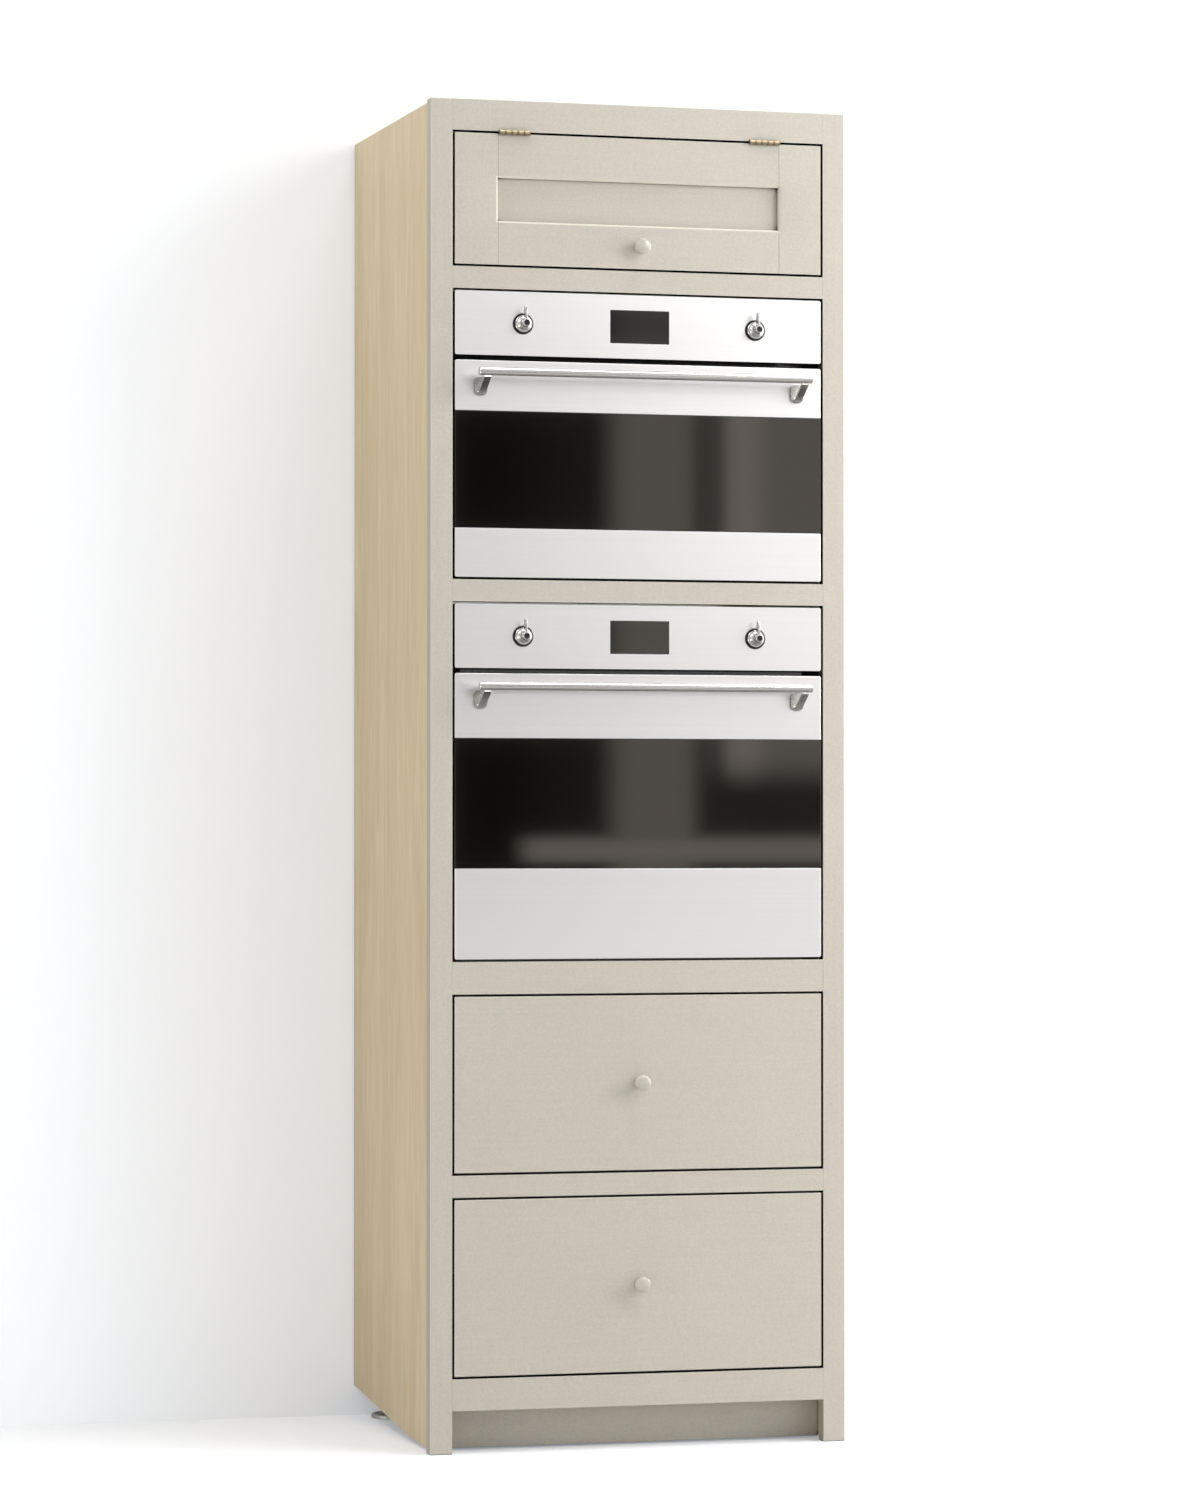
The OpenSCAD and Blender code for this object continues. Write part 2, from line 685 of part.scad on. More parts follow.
// Folded plates round the cavity, with air slots in the back
module oven_casing(k) color(galvanised) place() {
    low = oven_z[k];
    high = body_top(k);
    front = oven_face_y + sheet_t;
    inside_z = [low + sheet_t + joint_line, high - sheet_t - joint_line];
    wide(body_w, [front, body_d], [low, low + sheet_t]);
    wide(body_w, [front, body_d], [high - sheet_t, high]);
    both_sides()
        board([body_w / 2 - sheet_t, body_w / 2], [front, body_d], inside_z);
    difference() {
        wide(body_w - 2 * (sheet_t + joint_line), [body_d - sheet_t, body_d], inside_z);
        for (i = [0:vent_count - 1], s = [-1, 1]) {
            slot_z = high - vent_down - i * vent_pitch;
            board([s * vent_x - vent_w / 2, s * vent_x + vent_w / 2], [body_d - sheet_t - 1, body_d + 1],
                  [slot_z, slot_z + vent_h]);
        }
    }
    board([body_w / 2 - terminal_in - terminal_w, body_w / 2 - terminal_in],
          [body_d + joint_line, body_d + terminal_t],
          [low + terminal_up, low + terminal_up + terminal_h]);
}

// The enamelled liner with the face that the door closes on
module oven_cavity(k) color(enamel) place() {
    mouth_h = mouth_top(k) - mouth_low(k);
    mid_z = (mouth_top(k) + mouth_low(k)) / 2;
    difference() {
        union() {
            wide(body_w, [oven_face_y, oven_face_y + sheet_t], [oven_z[k], body_top(k)]);
            translate([0, 0, mid_z]) back_from(oven_face_y, cavity_back + sheet_t)
                round_rect(mouth_w + 2 * sheet_t, mouth_h + 2 * sheet_t, mouth_r + sheet_t);
        }
        translate([0, 0, mid_z]) back_from(oven_face_y - 1, cavity_back)
            round_rect(mouth_w, mouth_h, mouth_r);
    }
}

// The seals that the doors close on
module door_seals() color(dark_plastic) place() for (k = [0, 1]) {
    mouth_h = mouth_top(k) - mouth_low(k);
    translate([0, 0, (mouth_top(k) + mouth_low(k)) / 2])
        back_from(oven_face_y - seal_t, oven_face_y) difference() {
            round_rect(mouth_w + 2 * seal_w, mouth_h + 2 * seal_w, mouth_r + seal_w);
            round_rect(mouth_w, mouth_h, mouth_r);
        }
}

// A folded steel panel, with a window for the clock and bores for the two shafts
module control_panel(k) color(steel) place() {
    high = panel_top(k);
    low = high - control_h;
    fold_r = front_corner_r - sheet_t;
    difference() {
        union() {
            difference() {
                back_from(0, skin_d) eased_rect(front_w, [low, high], front_corner_r, front_corner_r);
                back_from(sheet_t, skin_d + 1)
                    eased_rect(front_w - 2 * sheet_t, [low + sheet_t, high - sheet_t], fold_r, fold_r);
            }
            both_sides()
                board([body_w / 2 - lug_in - lug_w, body_w / 2 - lug_in], [sheet_t, oven_face_y],
                      [panel_mid(k) - lug_h / 2, panel_mid(k) + lug_h / 2]);
        }
        wide(display_w + 2 * seat, [-1, sheet_t + 1],
             [panel_mid(k) - display_h / 2 - seat, panel_mid(k) + display_h / 2 + seat]);
        for (sx = [-1, 1])
            bar_y(sx * control_span / 2, -1, sheet_t + 1, panel_mid(k), shaft_r + running);
    }
}

module clock_displays() color(black_glass) place() for (k = [0, 1]) {
    half_h = display_h / 2;
    wide(display_w, [0, sheet_t + clock_proud], [panel_mid(k) - half_h, panel_mid(k) + half_h]);
    wide(display_w + 2 * clock_rim, [sheet_t + seat, skin_d - clock_back_gap],
         [panel_mid(k) - half_h - clock_rim, panel_mid(k) + half_h + clock_rim]);
}

module knob_rings() color(dark_plastic) place() for (k = [0, 1], sx = [-1, 1])
    translate([sx * control_span / 2, 0, panel_mid(k)]) rotate([90, 0, 0]) difference() {
        cylinder(h = ring_t, r = ring_d / 2);
        translate([0, 0, -1]) cylinder(h = ring_t + 2, r = shaft_r + running);
    }

rim_edge = 1.5;
nose_l = 6;
nose_edge = 1;
lever_tip = 14;        // the lever's tip starts this far behind the nose

// A flared bell with a nose, a thin lever that shows its setting, and its shaft
module control_knob(k, side) color(bright) place()
    translate([side * control_span / 2, 0, panel_mid(k)]) rotate([90, 0, 0]) {
        rim_r = rim_d / 2;
        nose_r = nose_d / 2;
        back = ring_t + seat;
        flare_start = back + rim_edge;
        flare_end = nose_out - nose_l;
        rotate_extrude() polygon(concat(
            [[0, back], [rim_r, back], [rim_r, flare_start]],
            [for (a = [10:10:90]) [nose_r + (rim_r - nose_r) * (1 - sin(a)),
                                   flare_start + (flare_end - flare_start) * (1 - cos(a))]],
            [[nose_r, nose_out - nose_edge], [nose_r - nose_edge, nose_out], [0, nose_out]]
        ));
        translate([0, 0, -skin_d / 2]) cylinder(h = skin_d / 2 + back, r = shaft_r);
        translate([-lever_t / 2, 0, 0]) rotate([90, 0, 90]) linear_extrude(lever_t) polygon([
            [0, back + 3], [rim_r - 3, back + 3], [lever_up - 3, nose_out - lever_tip],
            [lever_up, nose_out - lever_tip + 2], [lever_up - 1, nose_out - 4], [nose_r, nose_out - 2],
            [0, nose_out - 2]
        ]);
    }

// ---- Oven interior ----

rack_post_x = mouth_w / 2 - rack_wire_d / 2 - seat;
rack_rail_x = rack_post_x - rack_wire_d + 0.6;
shelf_side_x = rack_post_x - rack_wire_d / 2 - seat - shelf_rod_d / 2;
rail_offset = (rack_wire_d + shelf_rod_d) / 2;
rack_y = [oven_face_y + 22, cavity_back - 16];
rack_post_ys = [rack_y[0] + 50, rack_y[1] - 50];

// Side racks: two posts that carry a pair of rails at each level
module shelf_racks() color(bright) place() both_sides() for (k = [0, 1]) {
    low = rack_z(k, 0) - rail_offset - 12;
    high = rack_z(k, rack_levels[k] - 1) + rail_offset + 12;
    for (y = rack_post_ys) {
        bar_z_up(rack_post_x, y, low, high, rack_wire_d / 2);
    }
    for (level = [0:rack_levels[k] - 1], s = [-1, 1])
        bar_y(rack_rail_x, rack_y[0], rack_y[1], rack_z(k, level) + s * rail_offset, rack_wire_d / 2);
}

// A rod frame with cross wires welded on top
module wire_shelf(k) color(bright) place() {
    z = rack_z(k, shelf_level[k]);
    rod_r = shelf_rod_d / 2;
    near = rack_y[0] + rod_r + 2;
    far = rack_y[1] - rod_r - 8;
    wire_x = 2 * (shelf_side_x - 14) / (shelf_wires - 1);
    both_sides() bar_y(shelf_side_x, near, far, z, rod_r);
    for (y = [near, far]) {
        bar_x(-shelf_side_x, shelf_side_x, y, z, rod_r);
        both_sides() translate([shelf_side_x, y, z]) sphere(r = rod_r);
    }
    for (i = [0:shelf_wires - 1])
        bar_y(-shelf_side_x + 14 + i * wire_x, near, far, z + rod_r - shelf_wire_d / 4, shelf_wire_d / 2);
}
module main_wire_shelf() wire_shelf(0);
module compact_wire_shelf() wire_shelf(1);

// A tube that runs forward and back under the cavity's roof
module grill_elements() color(galvanised) place() for (k = [0, 1]) {
    r = element_d / 2;
    z = mouth_top(k) - 18;
    near = oven_face_y + 80;
    far = cavity_back - 60;
    runs = 6;
    x0 = -(runs - 1) / 2 * element_pitch;
    for (i = [0:runs - 1])
        bar_y(x0 + i * element_pitch, near, (i == 0 || i == runs - 1) ? cavity_back : far, z, r);
    for (i = [0:runs - 2])
        translate([x0 + (i + 0.5) * element_pitch, i % 2 == 0 ? near : far, z])
            rotate([0, 0, i % 2 == 0 ? 180 : 0])
                rotate_extrude(angle = 180) translate([element_pitch / 2, 0]) circle(r);
}

// A round cover with air slots in front of the fan
module fan_covers() color(enamel) place() for (k = [0, 1])
    translate([0, cavity_back, (mouth_low(k) + mouth_top(k)) / 2]) rotate([90, 0, 0]) difference() {
        cylinder(h = 12, r = fan_d / 2);
        translate([0, 0, -1]) cylinder(h = 11, r = fan_d / 2 - sheet_t);
        for (a = [0:30:330]) rotate([0, 0, a])
            translate([fan_d * 0.16, -3, 5]) cube([fan_d * 0.22, 6, 10]);
    }

// ---- Oven doors ----

// Fixed arms on the oven's face, each with the pin that a door turns on
module door_hinge_arms() color(galvanised) place() both_sides() for (k = [0, 1]) {
    across(hinge_arm_x, hinge_arm_x + hinge_arm_t) translate([0, pivot_z(k)]) {
        translate([pivot_y, 0]) circle(hinge_arm_r);
        translate([pivot_y, -hinge_arm_r]) square([oven_face_y - pivot_y, 2 * hinge_arm_r]);
    }
    bar_x(inner_w / 2 + ear_gap, hinge_arm_x + hinge_arm_t, pivot_y, pivot_z(k), door_pin_r);
}

// Folded steel over the top and the bottom of a door, notched for the hinge arms
module door_bands(k) color(steel) place() {
    upper = [door_top(k) - upper_band[k], door_top(k)];
    lower = [door_low(k), door_low(k) + lower_band[k]];
    fold_r = front_corner_r - sheet_t;
    fold_w = front_w - 2 * sheet_t;
    difference() {
        back_from(0, skin_d) eased_rect(front_w, upper, 0, front_corner_r);
        back_from(sheet_t, skin_d + 1) eased_rect(fold_w, [upper[0] - 1, upper[1] - sheet_t], 0, fold_r);
    }
    difference() {
        back_from(0, skin_d) eased_rect(front_w, lower, front_corner_r, 0);
        back_from(sheet_t, skin_d + 1) eased_rect(fold_w, [lower[0] + sheet_t, lower[1] + 1], fold_r, 0);
        both_sides()
            board([hinge_arm_x - arm_notch, hinge_arm_x + hinge_arm_t + arm_notch], [sheet_t, skin_d + 1],
                  [lower[0] - 1, lower[0] + sheet_t + 1]);
    }
}

// The outer glass between the bands, flush with them
module door_glass(k) color(black_glass) place()
    wide(front_w, [0, glass_t],
         [door_low(k) + lower_band[k] + seat, door_top(k) - upper_band[k] - seat]);

function inner_z(k) = [pivot_z(k) + inner_up, door_top(k) - inner_down];

// The pressed liner behind the glass, its raised inner part and the hinge ears
module door_liner(k) color(galvanised) place() {
    span_z = inner_z(k);
    shell_w = front_w - 2 * sheet_t - 2 * seat;
    difference() {
        union() {
            back_from(glass_t + seat, skin_d)
                eased_rect(shell_w, [span_z[0], door_top(k) - sheet_t - seat], 0, front_corner_r - sheet_t);
            wide(inner_w, [skin_d, door_inner_y - glass_t], span_z);
            both_sides()
                board([inner_w / 2 + ear_gap, hinge_arm_x - seat], [pivot_y - hinge_arm_r, skin_d],
                      [pivot_z(k) - hinge_arm_r, span_z[0] + ear_lap]);
        }
        wide(inner_w - 2 * window_side, [0, door_inner_y + 1],
             [span_z[0] + window_edge, span_z[1] - window_edge]);
        bar_x(-hinge_arm_x, hinge_arm_x, pivot_y, pivot_z(k), door_pin_r + running);
    }
}

// The pane that faces the cavity
module door_inner_glass(k) color(black_glass) place()
    wide(inner_w, [door_inner_y - glass_t, door_inner_y], inner_z(k));

bend_r = 3;            // inside of the bend at a bracket's foot
plate_corner = 5;
bar_edge = 1;          // chamfer at the ends of the handle bar

// The strap in side view: it bends forward at the foot plate's lower end and rises
// until it lies under the bar. The bend's centre is the drawing's origin.
module strap_outline(ahead, up) {
    outer_r = bend_r + bracket_t;
    under_bar = bar_d / 2 + joint_line;
    reach = norm([ahead, up]);
    slope = acos((under_bar - bend_r) / reach) - atan2(ahead, up);
    run = sqrt(reach * reach - (under_bar - bend_r) * (under_bar - bend_r));
    last = -90 - slope;
    tip = run * [-cos(slope), sin(slope)];
    polygon(concat(
        [for (i = [0:8]) outer_r * [cos(last * i / 8), sin(last * i / 8)]],
        [tip + outer_r * [cos(last), sin(last)], tip + bend_r * [cos(last), sin(last)]],
        [for (i = [8:-1:0]) bend_r * [cos(last * i / 8), sin(last * i / 8)]]
    ));
}

// A round bar on two brackets, each a strap bent up from its foot plate
module door_handle(k) color(bright) place() {
    z = bar_z(k);
    r = bar_d / 2;
    plate_low = z - r - bracket_h;
    bend = [-bend_r - bracket_t, plate_low + bend_r + bracket_t];
    translate([-bar_l / 2, -bar_out, z]) rotate([0, 90, 0]) rotate_extrude() polygon([
        [0, 0], [r - bar_edge, 0], [r, bar_edge], [r, bar_l - bar_edge], [r - bar_edge, bar_l], [0, bar_l]
    ]);
    both_sides() {
        translate([bracket_span / 2, 0, plate_low + bracket_h / 2])
            back_from(-bracket_t, 0) round_rect(bracket_w, bracket_h, plate_corner);
        across(bracket_span / 2 - strap_w / 2, bracket_span / 2 + strap_w / 2)
            translate(bend) strap_outline(bar_out + bend[0], z - bend[1]);
    }
}

module main_oven_casing() oven_casing(0);
module main_oven_cavity() oven_cavity(0);
module main_control_panel() control_panel(0);
module compact_oven_casing() oven_casing(1);
module compact_oven_cavity() oven_cavity(1);
module compact_control_panel() control_panel(1);
module main_door_bands() door_bands(0);
module main_door_glass() door_glass(0);
module main_door_liner() door_liner(0);
module main_door_inner_glass() door_inner_glass(0);
module main_door_handle() door_handle(0);
module compact_door_bands() door_bands(1);
module compact_door_glass() door_glass(1);
module compact_door_liner() door_liner(1);
module compact_door_inner_glass() door_inner_glass(1);
module compact_door_handle() door_handle(1);
module main_function_knob() control_knob(0, -1);
module main_heat_knob() control_knob(0, 1);
module compact_function_knob() control_knob(1, -1);
module compact_heat_knob() control_knob(1, 1);

side_panels();
top_panel();
fixed_shelves();
back_panels();
wall_fixing_rail();
oven_packers();
frame_stiles();
frame_rails();
plinth();
leg_sockets();
foot_front_left();
foot_front_right();
foot_rear_left();
foot_rear_right();
runner_packers();
cabinet_runners();
upper_drawer_front();
upper_drawer_box();
upper_drawer_knob();
upper_drawer_runners();
upper_middle_runners();
lower_drawer_front();
lower_drawer_box();
lower_drawer_knob();
lower_drawer_runners();
lower_middle_runners();
hinge_frame_leaves();
hinge_door_leaves();
locker_door_frame();
locker_door_panel();
locker_door_knob();
main_oven_casing();
main_oven_cavity();
main_control_panel();
compact_oven_casing();
compact_oven_cavity();
compact_control_panel();
clock_displays();
knob_rings();
door_seals();
shelf_racks();
fan_covers();
grill_elements();
door_hinge_arms();
main_door_bands();
main_door_glass();
main_door_liner();
main_door_inner_glass();
main_door_handle();
compact_door_bands();
compact_door_glass();
compact_door_liner();
compact_door_inner_glass();
compact_door_handle();
main_function_knob();
main_heat_knob();
compact_function_knob();
compact_heat_knob();
main_wire_shelf();
compact_wire_shelf();
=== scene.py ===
import json
import math
import bmesh
import bpy
from mathutils import Matrix, Vector


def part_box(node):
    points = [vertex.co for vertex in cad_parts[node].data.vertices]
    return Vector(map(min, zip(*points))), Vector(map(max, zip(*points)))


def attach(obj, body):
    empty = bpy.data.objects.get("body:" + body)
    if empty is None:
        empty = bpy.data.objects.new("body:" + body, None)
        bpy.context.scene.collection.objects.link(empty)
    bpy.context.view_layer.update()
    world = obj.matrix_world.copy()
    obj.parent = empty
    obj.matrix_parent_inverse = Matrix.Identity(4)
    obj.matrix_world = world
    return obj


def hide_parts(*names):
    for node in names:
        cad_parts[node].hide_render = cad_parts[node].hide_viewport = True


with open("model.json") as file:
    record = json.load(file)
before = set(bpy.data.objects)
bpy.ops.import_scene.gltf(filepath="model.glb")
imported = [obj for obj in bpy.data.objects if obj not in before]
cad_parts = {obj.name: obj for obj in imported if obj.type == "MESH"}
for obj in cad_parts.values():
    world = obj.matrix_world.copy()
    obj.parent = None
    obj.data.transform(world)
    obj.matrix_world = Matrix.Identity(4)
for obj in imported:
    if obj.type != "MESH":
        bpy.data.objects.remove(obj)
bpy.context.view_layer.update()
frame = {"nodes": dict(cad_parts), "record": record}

mm = 0.001
bodyOf = {node: body for body, nodes in frame["record"]["behaviour"]["bodies"].items() for node in nodes}
scene = bpy.context.scene

# The face of the frame stands this far in front of the origin
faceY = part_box("frame_stiles")[0].y


# Shader wiring
class Wire:
    def __init__(self, recipe, socket):
        self.recipe = recipe
        self.socket = socket

    def combine(self, operation, other, swap=False):
        first, second = (other, self) if swap else (self, other)
        return self.recipe.add("ShaderNodeMath", {0: first, 1: second}, operation=operation)[0]

    def __add__(self, other):
        return self.combine("ADD", other)

    def __sub__(self, other):
        return self.combine("SUBTRACT", other)

    def __mul__(self, other):
        return self.combine("MULTIPLY", other)

    def __truediv__(self, other):
        return self.combine("DIVIDE", other)

    def __pow__(self, other):
        return self.combine("POWER", other)

    def __rsub__(self, other):
        return self.combine("SUBTRACT", other, True)

    __radd__ = __add__
    __rmul__ = __mul__


class Outputs:
    def __init__(self, recipe, node):
        self.recipe = recipe
        self.node = node

    def __getitem__(self, key):
        return Wire(self.recipe, self.node.outputs[key])


class Recipe:
    def __init__(self, tree):
        self.tree = tree
        self.tree.nodes.clear()

    def add(self, kind, inputs=None, **settings):
        node = self.tree.nodes.new(kind)
        for key, value in settings.items():
            setattr(node, key, value)
        for key, value in (inputs or {}).items():
            if isinstance(value, Wire):
                self.tree.links.new(value.socket, node.inputs[key])
            else:
                node.inputs[key].default_value = value
        return Outputs(self, node)

    def place(self):
        return self.add("ShaderNodeTexCoord")["Object"]

    def axes(self):
        parts = self.add("ShaderNodeSeparateXYZ", {0: self.place()})
        return parts["X"], parts["Y"], parts["Z"]

    def stretched(self, scale, turn=(0, 0, 0)):
        return self.add("ShaderNodeMapping", {"Vector": self.place(), "Scale": scale, "Rotation": turn})[0]

    def noise(self, vector, scale, detail, roughness, distortion=0.0):
        return self.add("ShaderNodeTexNoise", {
            "Vector": vector, "Scale": scale, "Detail": detail, "Roughness": roughness,
            "Distortion": distortion})["Fac"]

    def mix(self, factor, first, second):
        return self.add("ShaderNodeMix", {0: factor, 6: first, 7: second}, data_type="RGBA")[2]

    def bump(self, height, strength, distance):
        return self.add("ShaderNodeBump", {
            "Height": height, "Strength": strength, "Distance": distance})["Normal"]

    def smooth(self, value, low, high):
        return self.add("ShaderNodeMapRange", {
            "Value": value, "From Min": low, "From Max": high}, interpolation_type="SMOOTHSTEP")[0]

    def open(self, low, high):
        # 1 on an open face, falling to 0 in a narrow gap, where painted shade goes
        shade = self.add("ShaderNodeAmbientOcclusion", {"Distance": gapShade["reach"]}, samples=gapShade["samples"])
        return self.smooth(shade["AO"], low, high)

    def facing(self, arris, flank):
        # 1 on the rounded edges of a squared piece and 0 on its flats, for a painted highlight, then 1 on its flats
        # to the left and right, for painted shade
        parts = self.add("ShaderNodeSeparateXYZ", {0: self.add("ShaderNodeTexCoord")["Normal"]})
        across, out, up = (parts[axis] * parts[axis] for axis in "XYZ")
        flat = across.combine("MAXIMUM", out).combine("MAXIMUM", up)
        return 1 - self.smooth(flat, *arris), self.smooth(across, *flank)

    def output(self, surface):
        self.add("ShaderNodeOutputMaterial", {"Surface": surface})


def srgb(*values):
    # Screen values from 0 to 255 as the linear ones that shaders take
    linear = [(v / 255 / 12.92) if v <= 10 else ((v / 255 + 0.055) / 1.055) ** 2.4 for v in values]
    return (*linear, 1.0)


def tinted(colour, factor):
    return tuple(min(1.0, c * factor) for c in colour[:3]) + (1.0,)


def newMaterial(name):
    material = bpy.data.materials.new(name)
    material.use_nodes = True
    return material, Recipe(material.node_tree)


def shaded(name, build, creviceShade=None):
    # A crevice range paints shade: the surface turns to a near-black diffuse where the gap around it is that closed
    material, recipe = newMaterial(name)
    surface = recipe.add("ShaderNodeBsdfPrincipled", build(recipe))["BSDF"]
    if creviceShade:
        paintedGapShade = recipe.add("ShaderNodeBsdfDiffuse", {"Color": gapShade["colour"]})["BSDF"]
        surface = recipe.add("ShaderNodeMixShader", {0: recipe.open(*creviceShade), 1: paintedGapShade, 2: surface})["Shader"]
    recipe.output(surface)
    return material


# Finishes. A noise is given as scale, detail, roughness and perhaps distortion, and a bump as strength and depth.
# Painted shade in narrow gaps: ambient occlusion of this reach finds them, and there the surface becomes this
# near-black colour
gapShade = {"reach": 16 * mm, "samples": 12, "colour": (0.012, 0.010, 0.008, 1), "paint": (0.30, 0.52),
       "steel": (0.42, 0.75), "brass": (0.25, 0.85)}
# Edge is a painted highlight on the rounded edges, and side is painted shade on the faces to the left and right
paintLook = {"colour": (205, 199, 186), "shade": 0.942, "light": 1.05, "edge": 1.26, "side": 0.66,
             "lines": (5, 90, 420), "brush": (1.0, 4.0, 0.6), "stipple": (330.0, 3.0, 0.6), "cloud": (2.2, 2.0, 0.5),
             "shares": (0.18, 0.6, 0.22), "toneRange": (0.36, 0.64), "arris": (0.6, 0.98), "flank": (0.8, 0.98),
             "roughness": 0.42, "stippleRoughness": 0.10, "coat": 0.10, "coatRoughness": 0.25,
             "brushBump": 0.07, "stippleBump": 0.30, "bump": (0.5, 0.0006), "knobGloss": 0.22, "glossCoat": 3}


def paintFinish(name, along, gloss=0.0, edgeHighlight=1.0, side=1.0):
    # Hand-painted timber: a fine canvas-like stipple over faint brush lines along the piece, with a painted highlight
    # on its rounded edges, painted shade on its left and right faces where side is below 1, and painted shade in
    # narrow gaps
    def build(r):
        p = paintLook
        brush = r.noise(r.stretched(p["lines"] if along == "x" else p["lines"][::-1]), *p["brush"])
        stipple = r.noise(r.place(), *p["stipple"])
        cloud = r.noise(r.place(), *p["cloud"])
        base = srgb(*p["colour"])
        brushShare, stippleShare, cloudShare = p["shares"]
        tone = r.smooth(brush * brushShare + stipple * stippleShare + cloud * cloudShare, *p["toneRange"])
        face = r.mix(tone, tinted(base, p["shade"]), tinted(base, p["light"]))
        # Painted highlight on the rounded edges, then painted shade on the left and right faces
        arris, flank = r.facing(p["arris"], p["flank"])
        face = r.mix(flank, r.mix(arris * edgeHighlight, face, tinted(base, p["edge"])), tinted(base, side))
        return {
            "Base Color": face,
            "Roughness": p["roughness"] - gloss + p["stippleRoughness"] * stipple,
            "Coat Weight": p["coat"] + gloss * p["glossCoat"],
            "Coat Roughness": p["coatRoughness"] - gloss,
            "Normal": r.bump(brush * p["brushBump"] + stipple * p["stippleBump"], *p["bump"]),
        }
    return shaded(name, build, gapShade["paint"])


# Each figure of the veneer is its stretch, then its noise without the scale
mapleLook = {"colour": (214, 198, 166), "dark": (198, 180, 147), "warm": (208, 179, 138), "warmShare": 0.45,
             "grain": ((110, 75, 6), 6.0, 0.68, 0.7), "pore": ((520, 420, 22), 3.0, 0.65, 0.3),
             "figure": ((9, 9, 1.3), 3.0, 0.55, 0.9), "patch": ((13, 13, 3.2), 3.0, 0.6, 0.6),
             "shares": (0.45, 0.35, 0.2), "toneRange": (0.38, 0.62), "patchRange": (0.54, 0.74),
             "roughness": 0.5, "grainRoughness": 0.12, "grainBump": 0.4, "poreBump": 0.6, "bump": (0.25, 0.0003),
             "turns": {"z": (0, 0, 0), "y": (math.pi / 2, 0, 0), "x": (0, math.pi / 2, 0)}}


def mapleFinish(name, along):
    # Pale veneer: fine wavering grain, soft broad figure and a few warm patches
    def build(r):
        m = mapleLook
        noises = []
        for kind in ("grain", "pore", "figure", "patch"):
            stretch, *settings = m[kind]
            noises.append(r.noise(r.stretched(stretch, m["turns"][along]), 1.0, *settings))
        grain, pore, figure, patch = noises
        grainShare, figureShare, poreShare = m["shares"]
        tone = r.smooth(grain * grainShare + figure * figureShare + pore * poreShare, *m["toneRange"])
        base = r.mix(tone, srgb(*m["dark"]), srgb(*m["colour"]))
        base = r.mix(r.smooth(patch, *m["patchRange"]) * m["warmShare"], base, srgb(*m["warm"]))
        return {
            "Base Color": base,
            "Roughness": m["roughness"] + m["grainRoughness"] * grain,
            "Normal": r.bump(grain * m["grainBump"] + pore * m["poreBump"], *m["bump"]),
        }
    return shaded(name, build)


steelLook = {"colour": (231, 230, 230), "shade": 0.96, "lines": (1.5, 400, 2200), "streak": (1.0, 4.0, 0.6),
             "broad": (5.0, 2.0, 0.5), "toneRange": (0.3, 0.6), "roughness": 0.25, "streakRoughness": 0.07,
             "broadRoughness": 0.04, "bump": (0.06, 0.0001)}


def steelFinish(name):
    # Brushed steel: hair lines from side to side vary the roughness and a very shallow bump, and narrow gaps get
    # painted shade
    def build(r):
        s = steelLook
        streak = r.noise(r.stretched(s["lines"]), *s["streak"])
        broad = r.noise(r.place(), *s["broad"])
        base = srgb(*s["colour"])
        return {
            "Base Color": r.mix(r.smooth(streak, *s["toneRange"]), tinted(base, s["shade"]), base),
            "Metallic": 1.0,
            "Roughness": s["roughness"] + s["streakRoughness"] * streak + s["broadRoughness"] * broad,
            "Normal": r.bump(streak, *s["bump"]),
        }
    return shaded(name, build, gapShade["steel"])


polishedLook = {"smear": (25.0, 3.0, 0.5), "smearRange": (0.3, 0.7), "smearShade": 0.97, "smearRoughness": 0.06,
                "lines": (6, 500, 500), "scratch": (1.0, 2.0, 0.5), "bump": (0.05, 0.00005),
                "seamRange": (0.22, 0.48), "seamShade": 0.46}


def polishedFinish(name, colour, roughness, creviceShade=None, knuckles=None):
    # Knuckles gives the place of a hinge's inner end and the pitch of its joints, across which shade is painted
    def build(r):
        p = polishedLook
        base = srgb(*colour)
        smear = r.noise(r.place(), *p["smear"])
        scratch = r.noise(r.stretched(p["lines"]), *p["scratch"])
        face = r.mix(r.smooth(smear, *p["smearRange"]), tinted(base, p["smearShade"]), base)
        # Painted shade: a dark band across each joint between the knuckles
        if knuckles:
            inner, pitch = knuckles
            turns = (r.axes()[0].combine("ABSOLUTE", 0) - inner) / pitch
            near = (turns.combine("FRACT", 0) - 0.5).combine("ABSOLUTE", 0)
            face = r.mix(r.smooth(near, *p["seamRange"]), face, tinted(base, p["seamShade"]))
        return {
            "Base Color": face,
            "Metallic": 1.0,
            "Roughness": roughness + p["smearRoughness"] * smear,
            "Normal": r.bump(scratch, *p["bump"]),
        }
    return shaded(name, build, creviceShade)


glassLook = {"colour": (0.0045, 0.0041, 0.0028, 1.0), "tint": (1.0, 0.95, 0.90, 1.0), "ior": 1.72,
             "wave": (3.0, 2.0, 0.5), "waveRoughness": 0.02, "bump": (0.02, 0.001),
             "dust": (900.0, 2.0, 0.5), "dustRange": (0.7, 0.8), "dustColour": (0.2, 0.2, 0.19, 1), "dustShare": 0.02}


def glassFinish(name, roughness):
    # Dark tinted oven glass, printed black from behind, so only its gloss shows
    def build(r):
        g = glassLook
        wave = r.noise(r.place(), *g["wave"])
        dust = r.smooth(r.noise(r.place(), *g["dust"]), *g["dustRange"])
        return {
            "Base Color": r.mix(dust * g["dustShare"], g["colour"], g["dustColour"]),
            "Roughness": roughness + g["waveRoughness"] * wave,
            "IOR": g["ior"],
            "Specular Tint": g["tint"],
            "Normal": r.bump(wave, *g["bump"]),
        }
    return shaded(name, build)


